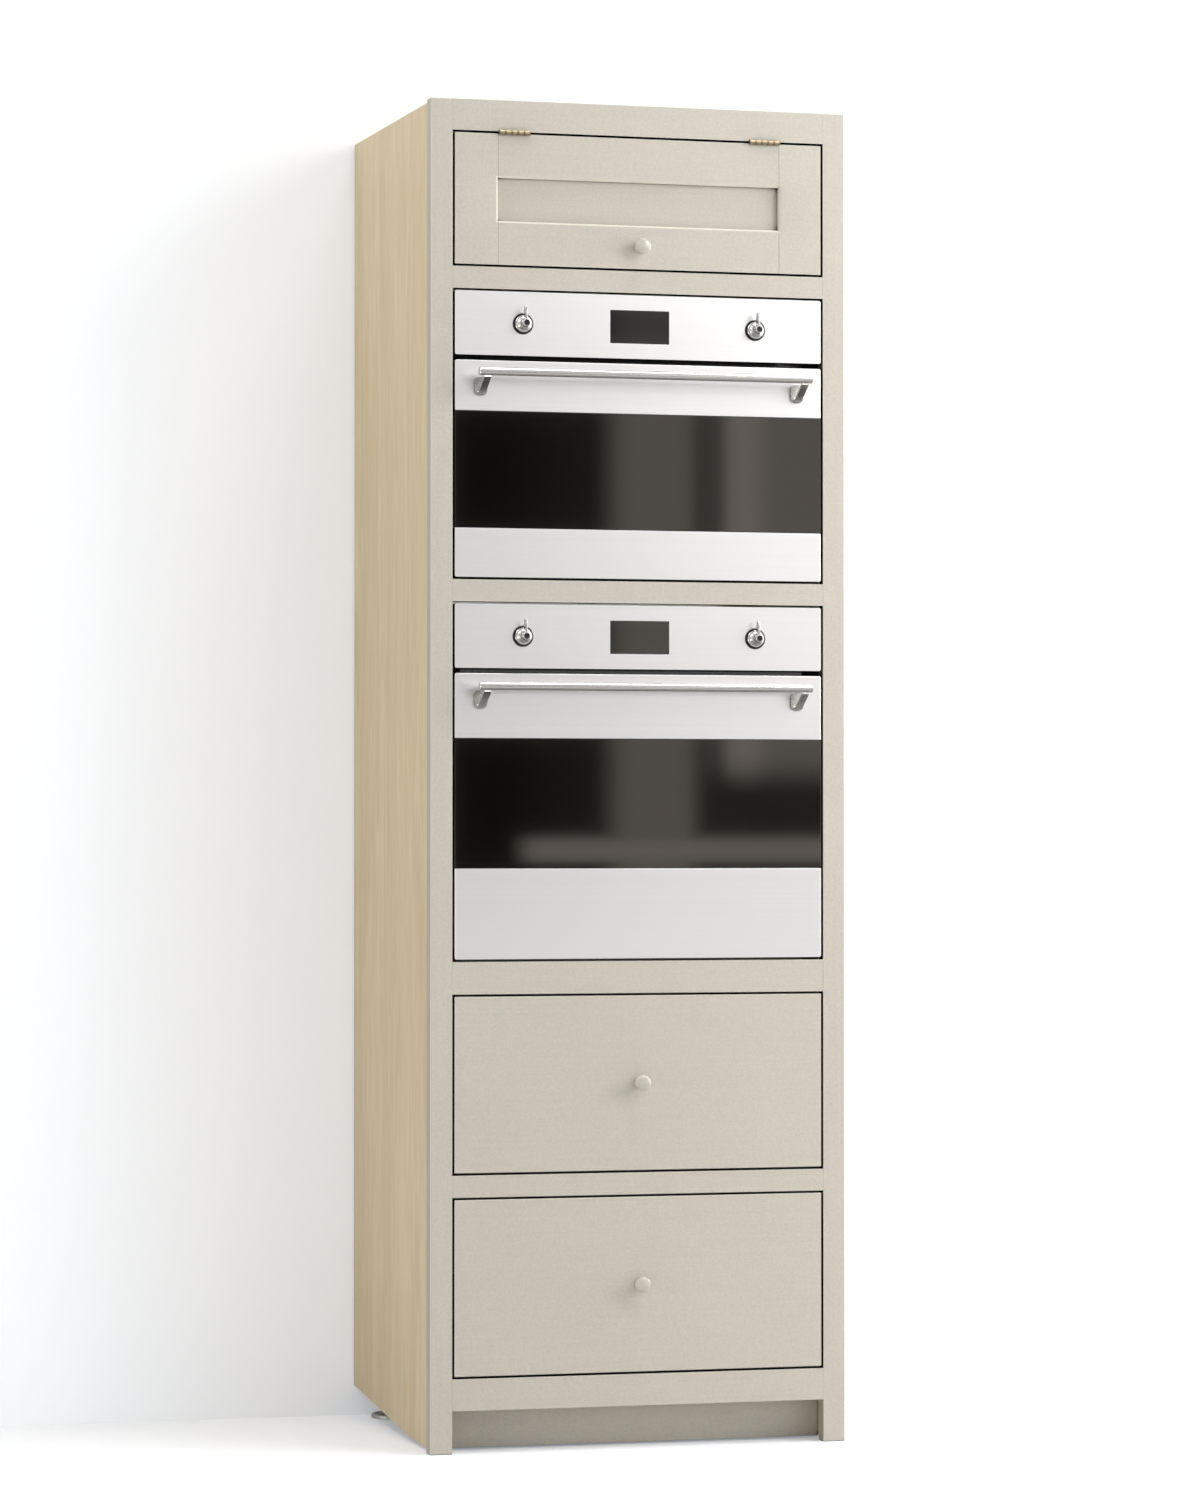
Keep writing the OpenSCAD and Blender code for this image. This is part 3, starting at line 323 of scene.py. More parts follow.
enamelLook = {"colour": (0.012, 0.012, 0.014, 1), "speckColour": (0.11, 0.11, 0.12, 1), "speck": (700.0, 2.0, 0.5),
              "speckRange": (0.62, 0.70), "roughness": 0.22, "coat": 0.5, "speckDulling": 0.2,
              "peel": (240.0, 3.0, 0.5), "bump": (0.12, 0.0004)}


def enamelFinish(name):
    def build(r):
        e = enamelLook
        speck = r.smooth(r.noise(r.place(), *e["speck"]), *e["speckRange"])
        return {
            "Base Color": r.mix(speck, e["colour"], e["speckColour"]),
            "Roughness": e["roughness"] + e["speckDulling"] * speck,
            "Coat Weight": e["coat"] - e["speckDulling"] * speck,
            "Normal": r.bump(r.noise(r.place(), *e["peel"]), *e["bump"]),
        }
    return shaded(name, build)


zincLook = {"cell": 75.0, "grime": (14.0, 4.0, 0.6), "shares": (0.7, 0.6), "toneRange": (0.2, 1.0), "shade": 0.82,
            "metallic": 0.9, "cellRoughness": 0.18, "bump": (0.05, 0.0002)}


def zincFinish(name, colour, roughness):
    # Zinc-coated sheet with its crystal pattern. Times one makes a plain value of the cells' colour.
    def build(r):
        z = zincLook
        cells = r.add("ShaderNodeTexVoronoi", {"Vector": r.place(), "Scale": z["cell"]})["Color"] * 1.0
        grime = r.noise(r.place(), *z["grime"])
        base = srgb(*colour)
        cellShare, grimeShare = z["shares"]
        tone = r.smooth(cells * cellShare + grime * grimeShare, *z["toneRange"])
        return {
            "Base Color": r.mix(tone, tinted(base, z["shade"]), base),
            "Metallic": z["metallic"],
            "Roughness": roughness + z["cellRoughness"] * cells,
            "Normal": r.bump(cells, *z["bump"]),
        }
    return shaded(name, build)


plasticLook = {"grain": (1500.0, 2.0, 0.5), "toneRange": (0.3, 0.7), "light": 1.3, "grainRoughness": 0.1,
               "specular": 0.28, "bump": (0.3, 0.0002)}


def plasticFinish(name, colour, roughness):
    def build(r):
        p = plasticLook
        grain = r.noise(r.place(), *p["grain"])
        base = srgb(*colour)
        return {
            "Base Color": r.mix(r.smooth(grain, *p["toneRange"]), base, tinted(base, p["light"])),
            "Roughness": roughness + p["grainRoughness"] * grain,
            "Specular IOR Level": p["specular"],
            "Normal": r.bump(grain, *p["bump"]),
        }
    return shaded(name, build)


hinge = {"length": 50 * mm, "knuckle": 10 * mm}
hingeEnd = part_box("hinge_frame_leaves")[1].x
finish = {
    # The uprights get painted shade on their left and right faces
    "paintUpright": paintFinish("paintUpright", "z", side=paintLook["side"]),
    "paintLevel": paintFinish("paintLevel", "x"),
    "paintKnob": paintFinish("paintKnob", "x", gloss=paintLook["knobGloss"], edgeHighlight=0.0),
    "mapleUpright": mapleFinish("mapleUpright", "z"),
    "mapleLevel": mapleFinish("mapleLevel", "y"),
    "mapleAcross": mapleFinish("mapleAcross", "x"),
    "steel": steelFinish("brushedSteel"),
    "steelBar": polishedFinish("steelBar", (202, 201, 199), 0.13),
    "chrome": polishedFinish("polishedChrome", (196, 195, 193), 0.12),
    "wire": polishedFinish("brightWire", (205, 205, 204), 0.16),
    # The hinges' brass gets painted shade in gaps and across its knuckle joints
    "brass": polishedFinish("paleBrass", (174, 157, 128), 0.36, gapShade["brass"],
                            (hingeEnd - hinge["length"], hinge["knuckle"])),
    "satin": polishedFinish("satinSteel", (192, 190, 187), 0.24),
    "glass": glassFinish("tintedGlass", 0.035),
    "screen": glassFinish("clockGlass", 0.05),
    "enamel": enamelFinish("darkEnamel"),
    "zinc": zincFinish("zincSheet", (160, 163, 166), 0.42),
    "element": zincFinish("elementTube", (96, 92, 88), 0.5),
    "footMetal": zincFinish("footMetal", (190, 190, 188), 0.34),
    "blackPlastic": plasticFinish("blackPlastic", (24, 24, 25), 0.5),
    "blackBoard": plasticFinish("blackBoard", (20, 20, 20), 0.6),
    "sealRubber": plasticFinish("sealRubber", (30, 29, 28), 0.6),
}
print("finishes made:", len(finish))


# Mesh helpers. Joint says how near an edge lies to a glued joint, and what share of the rounding it gets there.
joint = {"reach": 0.05 * mm, "share": 0.12}
merge = {"distance": 2e-6, "flatAngle": 1.0}


def linked(name, data):
    made = bpy.data.objects.new(name, data)
    scene.collection.objects.link(made)
    return made


def baked(carrier):
    # What the modifiers of an object make of it, as a plain mesh
    bpy.context.view_layer.update()
    evaluated = carrier.evaluated_get(bpy.context.evaluated_depsgraph_get())
    return bpy.data.meshes.new_from_object(evaluated)


def plain(name, mesh, material, nodes, body):
    piece = linked(name, mesh)
    if material is not None:
        mesh.materials.clear()
        mesh.materials.append(material)
    if nodes:
        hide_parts(*nodes)
    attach(piece, body)
    return piece


def softened(mesh, angle):
    for polygon in mesh.polygons:
        polygon.use_smooth = True
    mesh.set_sharp_from_angle(angle=math.radians(angle))
    return mesh


def fromBmesh(name, bm, angle=35.0):
    bmesh.ops.remove_doubles(bm, verts=bm.verts, dist=merge["distance"])
    bmesh.ops.recalc_face_normals(bm, faces=bm.faces)
    mesh = bpy.data.meshes.new(name)
    bm.to_mesh(mesh)
    bm.free()
    return softened(mesh, angle)


def rounded(mesh, width, segments, angle=35.0, glued=None):
    # Bevels every hard edge and leaves the flats flat, then gives back a plain mesh. Glued is the distance from
    # the middle and the heights of the joints between uprights and rails, whose edges are only eased.
    bm = bmesh.new()
    bm.from_mesh(mesh)
    reach = joint["reach"]
    across, spans = glued or (0.0, [])
    for height in {height for span in spans for height in span}:
        everything = bm.verts[:] + bm.edges[:] + bm.faces[:]
        bmesh.ops.bisect_plane(bm, geom=everything, dist=reach, plane_co=(0, 0, height), plane_no=(0, 0, 1))
    weight = bm.edges.layers.float.new("bevel_weight_edge")
    for edge in bm.edges:
        if len(edge.link_faces) == 2 and edge.calc_face_angle() > math.radians(angle):
            first, last = (vert.co for vert in edge.verts)
            level = (first.z + last.z) / 2
            near = all(abs(abs(end.x) - across) < reach for end in (first, last))
            inside = any(low - reach < level < high + reach for low, high in spans)
            edge[weight] = joint["share"] if near and inside else 1.0
    bm.to_mesh(mesh)
    bm.free()
    carrier = linked("carrier", mesh)
    bevel = carrier.modifiers.new("bevel", "BEVEL")
    bevel.width = width
    bevel.segments = segments
    bevel.limit_method = "WEIGHT"
    bevel.harden_normals = True
    bevel.use_clamp_overlap = True
    result = baked(carrier)
    bpy.data.objects.remove(carrier)
    return result


def mergedCopy(node):
    # The CAD node's mesh is loose triangles: join them and melt the flats into single faces
    bm = bmesh.new()
    bm.from_mesh(frame["nodes"][node].data)
    bmesh.ops.remove_doubles(bm, verts=bm.verts, dist=merge["distance"])
    flat = math.radians(merge["flatAngle"])
    bmesh.ops.dissolve_limit(bm, angle_limit=flat, verts=bm.verts, edges=bm.edges)
    return bm


def islandsOf(node):
    # The separate solids of a node, the one that is longest from side to side first
    whole = mergedCopy(node)
    whole.verts.index_update()
    left = set(whole.verts)
    parts = []
    while left:
        grow = [left.pop()]
        group = set()
        while grow:
            vert = grow.pop()
            group.add(vert.index)
            for edge in vert.link_edges:
                other = edge.other_vert(vert)
                if other in left:
                    left.discard(other)
                    grow.append(other)
        part = whole.copy()
        others = [vert for vert in part.verts if vert.index not in group]
        bmesh.ops.delete(part, geom=others, context="VERTS")
        parts.append(part)
    whole.free()

    def length(part):
        across = [vert.co.x for vert in part.verts]
        return max(across) - min(across)
    return sorted(parts, key=length, reverse=True)


def joints(node, count):
    # Where the rails of a node, its widest solids, end on the uprights
    rails = islandsOf(node)[:count]
    heights = [[vert.co.z for vert in rail.verts] for rail in rails]
    return max(vert.co.x for vert in rails[0].verts), [(min(each), max(each)) for each in heights]


def dress(node, material, width, segments=2, angle=35.0, glued=None):
    mesh = fromBmesh(node, mergedCopy(node))
    if width:
        mesh = rounded(mesh, width, segments, angle, glued)
    return plain(node + "_dressed", mesh, finish[material], [node], bodyOf[node])


def addLathe(bm, profile, centre, steps=64):
    # Profile points are (radius, distance in front of the centre), from pole to pole
    rings = []
    for radius, out in profile:
        count = steps if radius > 1e-7 else 1
        turns = [2 * math.pi * i / steps for i in range(count)]
        rings.append([bm.verts.new((centre[0] + radius * math.cos(turn), centre[1] - out,
                                    centre[2] + radius * math.sin(turn))) for turn in turns])
    for first, second in zip(rings, rings[1:]):
        for i in range(steps):
            j = (i + 1) % steps
            corners = [ring[k % len(ring)] for ring, k in ((first, i), (first, j), (second, j), (second, i))]
            unique = list(dict.fromkeys(corners))
            if len(unique) > 2:
                bm.faces.new(unique)


def arc(centre, radius, stop, steps):
    # From straight out to the side, round towards the front
    turns = [math.radians(stop * i / steps) for i in range(steps + 1)]
    return [(centre[0] + radius * math.cos(turn), centre[1] + radius * math.sin(turn)) for turn in turns]


def quarter(step, first=0):
    return [math.radians(step * i) for i in range(first, 90 // step + 1)]


def growTree(name, inputs, build):
    # A Geometry Nodes tree with named inputs that ends in plain, painted geometry
    tree = bpy.data.node_groups.new(name, "GeometryNodeTree")
    for label, kind in {**inputs, "Material": "NodeSocketMaterial"}.items():
        tree.interface.new_socket(label, in_out="INPUT", socket_type=kind)
    tree.interface.new_socket("Geometry", in_out="OUTPUT", socket_type="NodeSocketGeometry")
    r = Recipe(tree)
    given = r.add("NodeGroupInput")
    real = r.add("GeometryNodeRealizeInstances", {"Geometry": build(r, given)})["Geometry"]
    painted = r.add("GeometryNodeSetMaterial", {"Geometry": real, "Material": given["Material"]})["Geometry"]
    r.add("NodeGroupOutput", {"Geometry": painted})
    return tree


def grown(name, tree, values, nodes, body, base=None, angle=40.0):
    # Runs the tree once and keeps its result as a plain mesh
    carrier = linked(name + "Carrier", base or bpy.data.meshes.new(name))
    modifier = carrier.modifiers.new("grow", "NODES")
    modifier.node_group = tree
    for socket in tree.interface.items_tree:
        if socket.in_out == "INPUT" and socket.name in values:
            modifier[socket.identifier] = values[socket.name]
    mesh = baked(carrier)
    bpy.data.objects.remove(carrier)
    return plain(name, softened(mesh, angle), None, nodes, body)


# Carcase and frame
carcase = {"frameEdge": 1.1 * mm, "frameSteps": 4, "rails": 6, "boardEdge": 0.5 * mm, "footEdge": 0.6 * mm,
           "boards": {"side_panels": "mapleUpright", "oven_packers": "blackBoard", "back_panels": "mapleUpright",
                      "top_panel": "mapleLevel", "fixed_shelves": "mapleLevel", "runner_packers": "mapleLevel",
                      "wall_fixing_rail": "mapleAcross", "plinth": "paintLevel", "leg_sockets": "blackPlastic"}}
frameJoints = joints("frame_rails", carcase["rails"])
for node, look in (("frame_stiles", "paintUpright"), ("frame_rails", "paintLevel")):
    dress(node, look, carcase["frameEdge"], carcase["frameSteps"], glued=frameJoints)
for node, look in carcase["boards"].items():
    dress(node, look, carcase["boardEdge"])
for foot in ("front_left", "front_right", "rear_left", "rear_right"):
    dress("foot_" + foot, "footMetal", carcase["footEdge"])
print("carcase dressed")


# Drawers and locker door
drawer = {"edge": 1.2 * mm, "steps": 4, "boxEdge": 0.8 * mm, "runnerEdge": 0.2 * mm}
locker = {"edge": 1.2 * mm, "angle": 30, "rails": 2, "panelEdge": 0.3 * mm, "hingeEdge": 0.8 * mm, "hingeSteps": 3}
for level in ("upper", "lower"):
    dress(level + "_drawer_front", "paintLevel", drawer["edge"], drawer["steps"])
    dress(level + "_drawer_box", "mapleLevel", drawer["boxEdge"])
    dress(level + "_drawer_runners", "zinc", drawer["runnerEdge"])
    dress(level + "_middle_runners", "zinc", drawer["runnerEdge"])
dress("cabinet_runners", "zinc", drawer["runnerEdge"])
dress("locker_door_frame", "paintLevel", locker["edge"], drawer["steps"], locker["angle"],
      joints("locker_door_frame", locker["rails"]))
dress("locker_door_panel", "paintLevel", locker["panelEdge"])

turnedKnob = {"baseRadius": 9.5 * mm, "foot": 1.6 * mm, "footBack": 0.4 * mm, "footFront": 0.3 * mm,
              "ledge": 0.6 * mm, "waistRadius": 6.0 * mm, "flare": 5 * mm, "headRadius": 12.5 * mm,
              "rim": 4.6 * mm, "rimTurn": 80, "dome": 1.2 * mm, "out": 25.9 * mm, "smoothAngle": 50}


def paintedKnob(node):
    # A foot, a concave waist that flares into the head, a rounded rim and a low dome
    k = turnedKnob
    base, waist, head, foot, out = (k[key] for key in ("baseRadius", "waistRadius", "headRadius", "foot", "out"))
    low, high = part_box(node)
    waistOut = out - k["dome"] - 2 * k["rim"] - k["flare"]
    profile = [(0, 0), (base - k["footBack"], 0), (base, k["footBack"]), (base, foot - k["footFront"]),
               (base - k["footFront"], foot)]
    span = base - waist - k["ledge"]
    profile += [(waist + span * (1 - math.sin(a)), foot + (waistOut - foot) * (1 - math.cos(a)))
                for a in quarter(9)]
    profile += [(head - (head - waist) * math.cos(a), waistOut + k["flare"] * math.sin(a)) for a in quarter(9, 1)]
    profile += arc((head - k["rim"], out - k["dome"] - k["rim"]), k["rim"], k["rimTurn"], 10)[1:]
    inner, shoulder = profile[-1]
    profile += [(inner * (1 - i / 10), out - (out - shoulder) * (1 - i / 10) ** 2) for i in range(1, 11)]
    bm = bmesh.new()
    addLathe(bm, profile, (0.0, faceY, (low.z + high.z) / 2))
    plain(node + "_turned", fromBmesh(node, bm, k["smoothAngle"]), finish["paintKnob"], [node], bodyOf[node])


for node in ("locker_door_knob", "upper_drawer_knob", "lower_drawer_knob"):
    paintedKnob(node)
for leaves in ("hinge_frame_leaves", "hinge_door_leaves"):
    dress(leaves, "brass", locker["hingeEdge"], locker["hingeSteps"])
print("drawers and locker door dressed")


# Oven fronts
ovenFront = {"sheetEdge": 0.9 * mm, "sheetSteps": 4, "glassEdge": 0.5 * mm, "glassSteps": 3, "linerEdge": 0.6 * mm,
             "screenEdge": 0.3 * mm, "barAngle": 40, "bracketEdge": 0.5 * mm, "bracketSteps": 3, "bracketAngle": 30}


def doorHandle(oven):
    # The bar is the longest solid of the node
    node = oven + "_door_handle"
    bar, *brackets = islandsOf(node)
    plain(node + "_bar", fromBmesh(node, bar, ovenFront["barAngle"]), finish["steelBar"], [node], bodyOf[node])
    for label, part in zip(("left", "right"), sorted(brackets, key=lambda p: next(iter(p.verts)).co.x)):
        mesh = rounded(fromBmesh(node, part), ovenFront["bracketEdge"], ovenFront["bracketSteps"],
                       ovenFront["bracketAngle"])
        plain(f"{node}_{label}_bracket", mesh, finish["satin"], [node], bodyOf[node])


for oven in ("compact", "main"):
    for sheet in ("_door_bands", "_control_panel"):
        dress(oven + sheet, "steel", ovenFront["sheetEdge"], ovenFront["sheetSteps"])
    doorHandle(oven)
    for pane in ("_door_glass", "_door_inner_glass"):
        dress(oven + pane, "glass", ovenFront["glassEdge"], ovenFront["glassSteps"])
    dress(oven + "_door_liner", "zinc", ovenFront["linerEdge"])
dress("clock_displays", "screen", ovenFront["screenEdge"])
print("oven fronts dressed")


# Control knobs. The lever's outline is in millimetres, up from and out of the frame's face.
controlKnob = {"rimRadius": 13.25 * mm, "back": 2.8 * mm, "rimT": 2.1 * mm, "rimEase": 0.5 * mm,
               "shaftRadius": 3 * mm, "shaftIn": 9 * mm, "ledge": 0.9 * mm, "flareEnd": 19 * mm,
               "noseRadius": 6.0 * mm, "noseOut": 25 * mm, "noseRound": 1.2 * mm, "dotRadius": 4.3 * mm,
               "dotWall": 0.2 * mm, "dotSink": 0.8 * mm, "dotBack": 1.0 * mm, "dotEdge": 0.3 * mm,
               "dotTop": 0.15 * mm, "dotGap": 0.1 * mm, "leverT": 3.4 * mm, "leverEdge": 0.9 * mm, "leverSteps": 4,
               "leverAngle": 25, "bellSteps": 72, "dotSteps": 48, "smoothAngle": 40, "ringEdge": 0.5 * mm,
               "ringSteps": 3, "lever": ((4, 8), (10, 9), (24, 12), (27, 13.5), (26.4, 20), (23, 21.6), (6.5, 22),
                                         (4, 21))}


def ovenKnob(node):
    # A bell that flares from its rim to a nose with a dark dot, and a thin lever standing upright on it
    k = controlKnob
    rim, back, nose, out = (k[key] for key in ("rimRadius", "back", "noseRadius", "noseOut"))
    low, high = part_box(node)
    centre = ((low.x + high.x) / 2, faceY, low.z + rim)
    flareStart = back + k["rimT"]
    profile = [(0, -k["shaftIn"]), (k["shaftRadius"], -k["shaftIn"]), (k["shaftRadius"], back),
               (rim - k["rimEase"], back), (rim, back + k["rimEase"]), (rim, flareStart - k["rimEase"]),
               (rim - k["rimEase"], flareStart)]
    rise = k["flareEnd"] - back - k["rimT"]
    width = rim - k["ledge"] - nose
    profile += [(nose + width * (1 - math.sin(a)), flareStart + rise * (1 - math.cos(a))) for a in quarter(6)]
    profile += [(nose, out - k["noseRound"])]
    profile += arc((nose - k["noseRound"], out - k["noseRound"]), k["noseRound"], 90, 5)[1:]
    profile += [(k["dotRadius"] + k["dotWall"], out), (k["dotRadius"], out - k["dotSink"]), (0, out - k["dotSink"])]
    bm = bmesh.new()
    addLathe(bm, profile, centre, k["bellSteps"])
    plain(node + "_bell", fromBmesh(node, bm, k["smoothAngle"]), finish["chrome"], [node], bodyOf[node])

    dotRadius = k["dotRadius"] - k["dotGap"]
    bm = bmesh.new()
    addLathe(bm, [(0, out - k["dotBack"]), (dotRadius, out - k["dotBack"]), (dotRadius, out - k["dotEdge"]),
                  (0, out - k["dotTop"])], centre, k["dotSteps"])
    plain(node + "_dot", fromBmesh(node, bm, k["smoothAngle"]), finish["blackPlastic"], [node], bodyOf[node])

    bm = bmesh.new()
    left, right = ([bm.verts.new((centre[0] + side * k["leverT"] / 2, centre[1] - away * mm, centre[2] + up * mm))
                    for up, away in k["lever"]] for side in (-1, 1))
    bm.faces.new(left)
    bm.faces.new(list(reversed(right)))
    for i in range(len(left)):
        j = (i + 1) % len(left)
        bm.faces.new([left[j], left[i], right[i], right[j]])
    mesh = rounded(fromBmesh(node, bm), k["leverEdge"], k["leverSteps"], k["leverAngle"])
    plain(node + "_lever", mesh, finish["chrome"], [node], bodyOf[node])


for oven in ("compact", "main"):
    for use in ("function", "heat"):
        ovenKnob(f"{oven}_{use}_knob")
dress("knob_rings", "blackPlastic", controlKnob["ringEdge"], controlKnob["ringSteps"])
print("control knobs made")


# Wire shelves: a bent frame rod with cross wires welded on top
wireShelf = {"rod": 6 * mm, "wire": 3 * mm, "count": 17, "first": 14 * mm, "corner": 9 * mm, "bends": 8, "sides": 20}


def shelfTree(r, given):
    outline = r.add("GeometryNodeCurvePrimitiveQuadrilateral", {
        "Width": given["Width"], "Height": given["Depth"]})["Curve"]
    bent = r.add("GeometryNodeFilletCurve", {
        "Curve": outline, "Count": wireShelf["bends"], "Radius": given["Corner"]}, mode="POLY")["Curve"]
    section = r.add("GeometryNodeCurvePrimitiveCircle", {
        "Resolution": given["Sides"], "Radius": given["Rod"] * 0.5})["Curve"]
    frameRod = r.add("GeometryNodeCurveToMesh", {"Curve": bent, "Profile Curve": section})["Mesh"]
    span = given["Width"] - 2 * given["First"]
    step = span / (given["Count"] - 1)
    start = r.add("ShaderNodeCombineXYZ", {"X": span * -0.5, "Z": given["Rise"]})["Vector"]
    stride = r.add("ShaderNodeCombineXYZ", {"X": step})["Vector"]
    row = r.add("GeometryNodeMeshLine", {
        "Count": given["Count"], "Start Location": start, "Offset": stride})["Mesh"]
    wire = r.add("GeometryNodeMeshCylinder", {
        "Vertices": given["Sides"], "Radius": given["Wire"] * 0.5, "Depth": given["Depth"]})["Mesh"]
    wires = r.add("GeometryNodeInstanceOnPoints", {
        "Points": row, "Instance": wire, "Rotation": (math.pi / 2, 0, 0)})["Instances"]
    joined = r.add("GeometryNodeJoinGeometry")
    for part in (frameRod, wires):
        r.tree.links.new(part.socket, joined.node.inputs[0])
    return r.add("GeometryNodeTransform", {
        "Geometry": joined["Geometry"], "Translation": given["Centre"]})["Geometry"]


shelfInputs = {label: "NodeSocketFloat" for label in ("Width", "Depth", "Corner", "Rod", "Wire", "First", "Rise")}
shelfGrowth = growTree("shelfGrowth", {**shelfInputs, "Count": "NodeSocketInt", "Sides": "NodeSocketInt",
                                       "Centre": "NodeSocketVector"}, shelfTree)
for oven in ("compact", "main"):
    node = oven + "_wire_shelf"
    low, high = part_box(node)
    w = wireShelf
    grown(node + "_wires", shelfGrowth, {
        "Width": high.x - low.x - w["rod"], "Depth": high.y - low.y - w["rod"], "Corner": w["corner"],
        "Rod": w["rod"], "Wire": w["wire"], "First": w["first"], "Count": w["count"], "Sides": w["sides"],
        "Rise": high.z - low.z - w["rod"] / 2 - w["wire"] / 2,
        "Centre": ((low.x + high.x) / 2, (low.y + high.y) / 2, low.z + w["rod"] / 2),
        "Material": finish["wire"]}, [node], bodyOf[node])
print("wire shelves grown")


# Screws: a domed head with a cross recess on each given point, every one turned at random
screw = {"radius": 3.6 * mm, "dome": 1.1 * mm, "seat": 0.4 * mm, "lip": 0.1 * mm, "sides": 20, "recess": 1.1 * mm,
         "arm": 2.1 * mm, "slot": 0.55 * mm, "smoothAngle": 30, "seed": 7,
         "caseUp": 9 * mm, "terminalT": 12 * mm, "casePitch": 0.125, "trimX": 271 * mm, "trimLow": 0.3,
         "leafSpread": 16 * mm, "leafStep": 3 * mm, "leafT": 1.4 * mm, "leafIn": 12 * mm, "leafGap": 3.5 * mm,
         "leafSize": 0.8, "leafRise": 0.2, "runnerSheet": 1.3 * mm, "runnerPitch": 0.13,
         "drawerEnd": 20 * mm, "drawerRise": 0.7, "cabinetEnd": 32 * mm, "cabinetRise": 0.18}


def screwHead():
    k = screw
    profile = [(0, -k["seat"]), (k["radius"], -k["seat"]), (k["radius"], k["lip"])]
    profile += [(k["radius"] * math.cos(a), k["lip"] + (k["dome"] - k["lip"]) * math.sin(a))
                for a in quarter(10, 1)[:-1]]
    profile += [(0, k["dome"])]
    bm = bmesh.new()
    addLathe(bm, profile, (0, 0, 0), k["sides"])
    bmesh.ops.transform(bm, matrix=Matrix.Rotation(math.radians(-90), 4, "X"), verts=bm.verts)
    head = linked("screwHead", fromBmesh("screwHead", bm))
    cross = bmesh.new()
    for across, along in ((k["arm"], k["slot"]), (k["slot"], k["arm"])):
        size = Matrix.Diagonal((2 * across, 2 * along, 2 * k["recess"], 1))
        bmesh.ops.create_cube(cross, size=1.0, matrix=Matrix.Translation((0, 0, k["dome"])) @ size)
    cutter = linked("screwCross", fromBmesh("screwCross", cross))
    cut = head.modifiers.new("cross", "BOOLEAN")
    cut.operation = "DIFFERENCE"
    cut.solver = "EXACT"
    cut.use_self = True
    cut.object = cutter
    head.data = baked(head)
    head.modifiers.clear()
    bpy.data.objects.remove(cutter)
    return head


def screwTree(r, given):
    facing = r.add("GeometryNodeInputNamedAttribute", {"Name": "facing"}, data_type="FLOAT_VECTOR")[0]
    turned = r.add("FunctionNodeAlignRotationToVector", {"Vector": facing}, axis="Z")["Rotation"]
    head = r.add("GeometryNodeObjectInfo", {"Object": given["Head"]})["Geometry"]
    flat = r.add("ShaderNodeCombineXYZ", {"X": given["Size"], "Y": given["Size"], "Z": given["Rise"]})["Vector"]
    placed = r.add("GeometryNodeInstanceOnPoints", {
        "Points": given["Points"], "Instance": head, "Rotation": turned, "Scale": flat})["Instances"]
    spin = r.add("FunctionNodeRandomValue", {3: math.tau, "Seed": given["Seed"]}, data_type="FLOAT")[1]
    turn = r.add("ShaderNodeCombineXYZ", {"Z": spin})["Vector"]
    return r.add("GeometryNodeRotateInstances", {"Instances": placed, "Rotation": turn})["Instances"]


screwGrowth = growTree("screwGrowth", {
    "Points": "NodeSocketGeometry", "Head": "NodeSocketObject", "Size": "NodeSocketFloat",
    "Rise": "NodeSocketFloat", "Seed": "NodeSocketInt"}, screwTree)
screwShape = screwHead()


def addScrews(name, body, places, look="zinc", size=1.0, rise=1.0):
    points = bpy.data.meshes.new(name)
    points.from_pydata([place for place, facing in places], [], [])
    facings = points.attributes.new("facing", "FLOAT_VECTOR", "POINT")
    for i, (place, facing) in enumerate(places):
        facings.data[i].vector = facing
    grown(name, screwGrowth, {"Head": screwShape, "Size": size, "Rise": rise, "Seed": screw["seed"],
                              "Material": finish[look]}, [], body, points, screw["smoothAngle"])


def evenly(low, high, pitch):
    count = max(2, round((high - low) / pitch) + 1)
    return [low + (high - low) * i / (count - 1) for i in range(count)]


def runnerPlaces(level, x, end, turn):
    # Along the middle height of both runners of a drawer, facing outward or, with a turn of -1, inward
    low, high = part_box(level + "_drawer_runners")
    return [((side * x, y, (low.z + high.z) / 2), (side * turn, 0, 0)) for side in (-1, 1)
            for y in evenly(low.y + end, high.y - end, screw["runnerPitch"])]


casePlaces = []
caseIn = 2 * screw["caseUp"]
for oven in ("compact", "main"):
    low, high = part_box(oven + "_oven_casing")
    back = high.y - screw["terminalT"]
    for x in evenly(low.x + caseIn, high.x - caseIn, screw["casePitch"]):
        casePlaces += [((x, back, z), (0, 1, 0)) for z in (low.z + screw["caseUp"], high.z - screw["caseUp"])]
    doorLow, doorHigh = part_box(oven + "_door_liner")
    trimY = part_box(oven + "_oven_cavity")[0].y
    for z in (doorLow.z + screw["trimLow"] * (doorHigh.z - doorLow.z), doorHigh.z - caseIn):
        casePlaces += [((side * screw["trimX"], trimY, z), (0, -1, 0)) for side in (-1, 1)]
addScrews("casing_screws", "cabinet", casePlaces)

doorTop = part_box("locker_door_frame")[1].z
hingeX = hingeEnd - hinge["length"] / 2
leafY = faceY + screw["leafIn"]
for name, body, z, up in (
        ("frame_leaf_screws", "cabinet", doorTop + screw["leafGap"] - screw["leafT"], -1),
        ("door_leaf_screws", "locker_door", doorTop + screw["leafT"], 1)):
    places = [((side * hingeX + i * screw["leafSpread"], leafY + (-1) ** i * screw["leafStep"], z), (0, 0, up))
              for side in (-1, 1) for i in (-1, 0, 1)]
    addScrews(name, body, places, "brass", screw["leafSize"], screw["leafRise"])

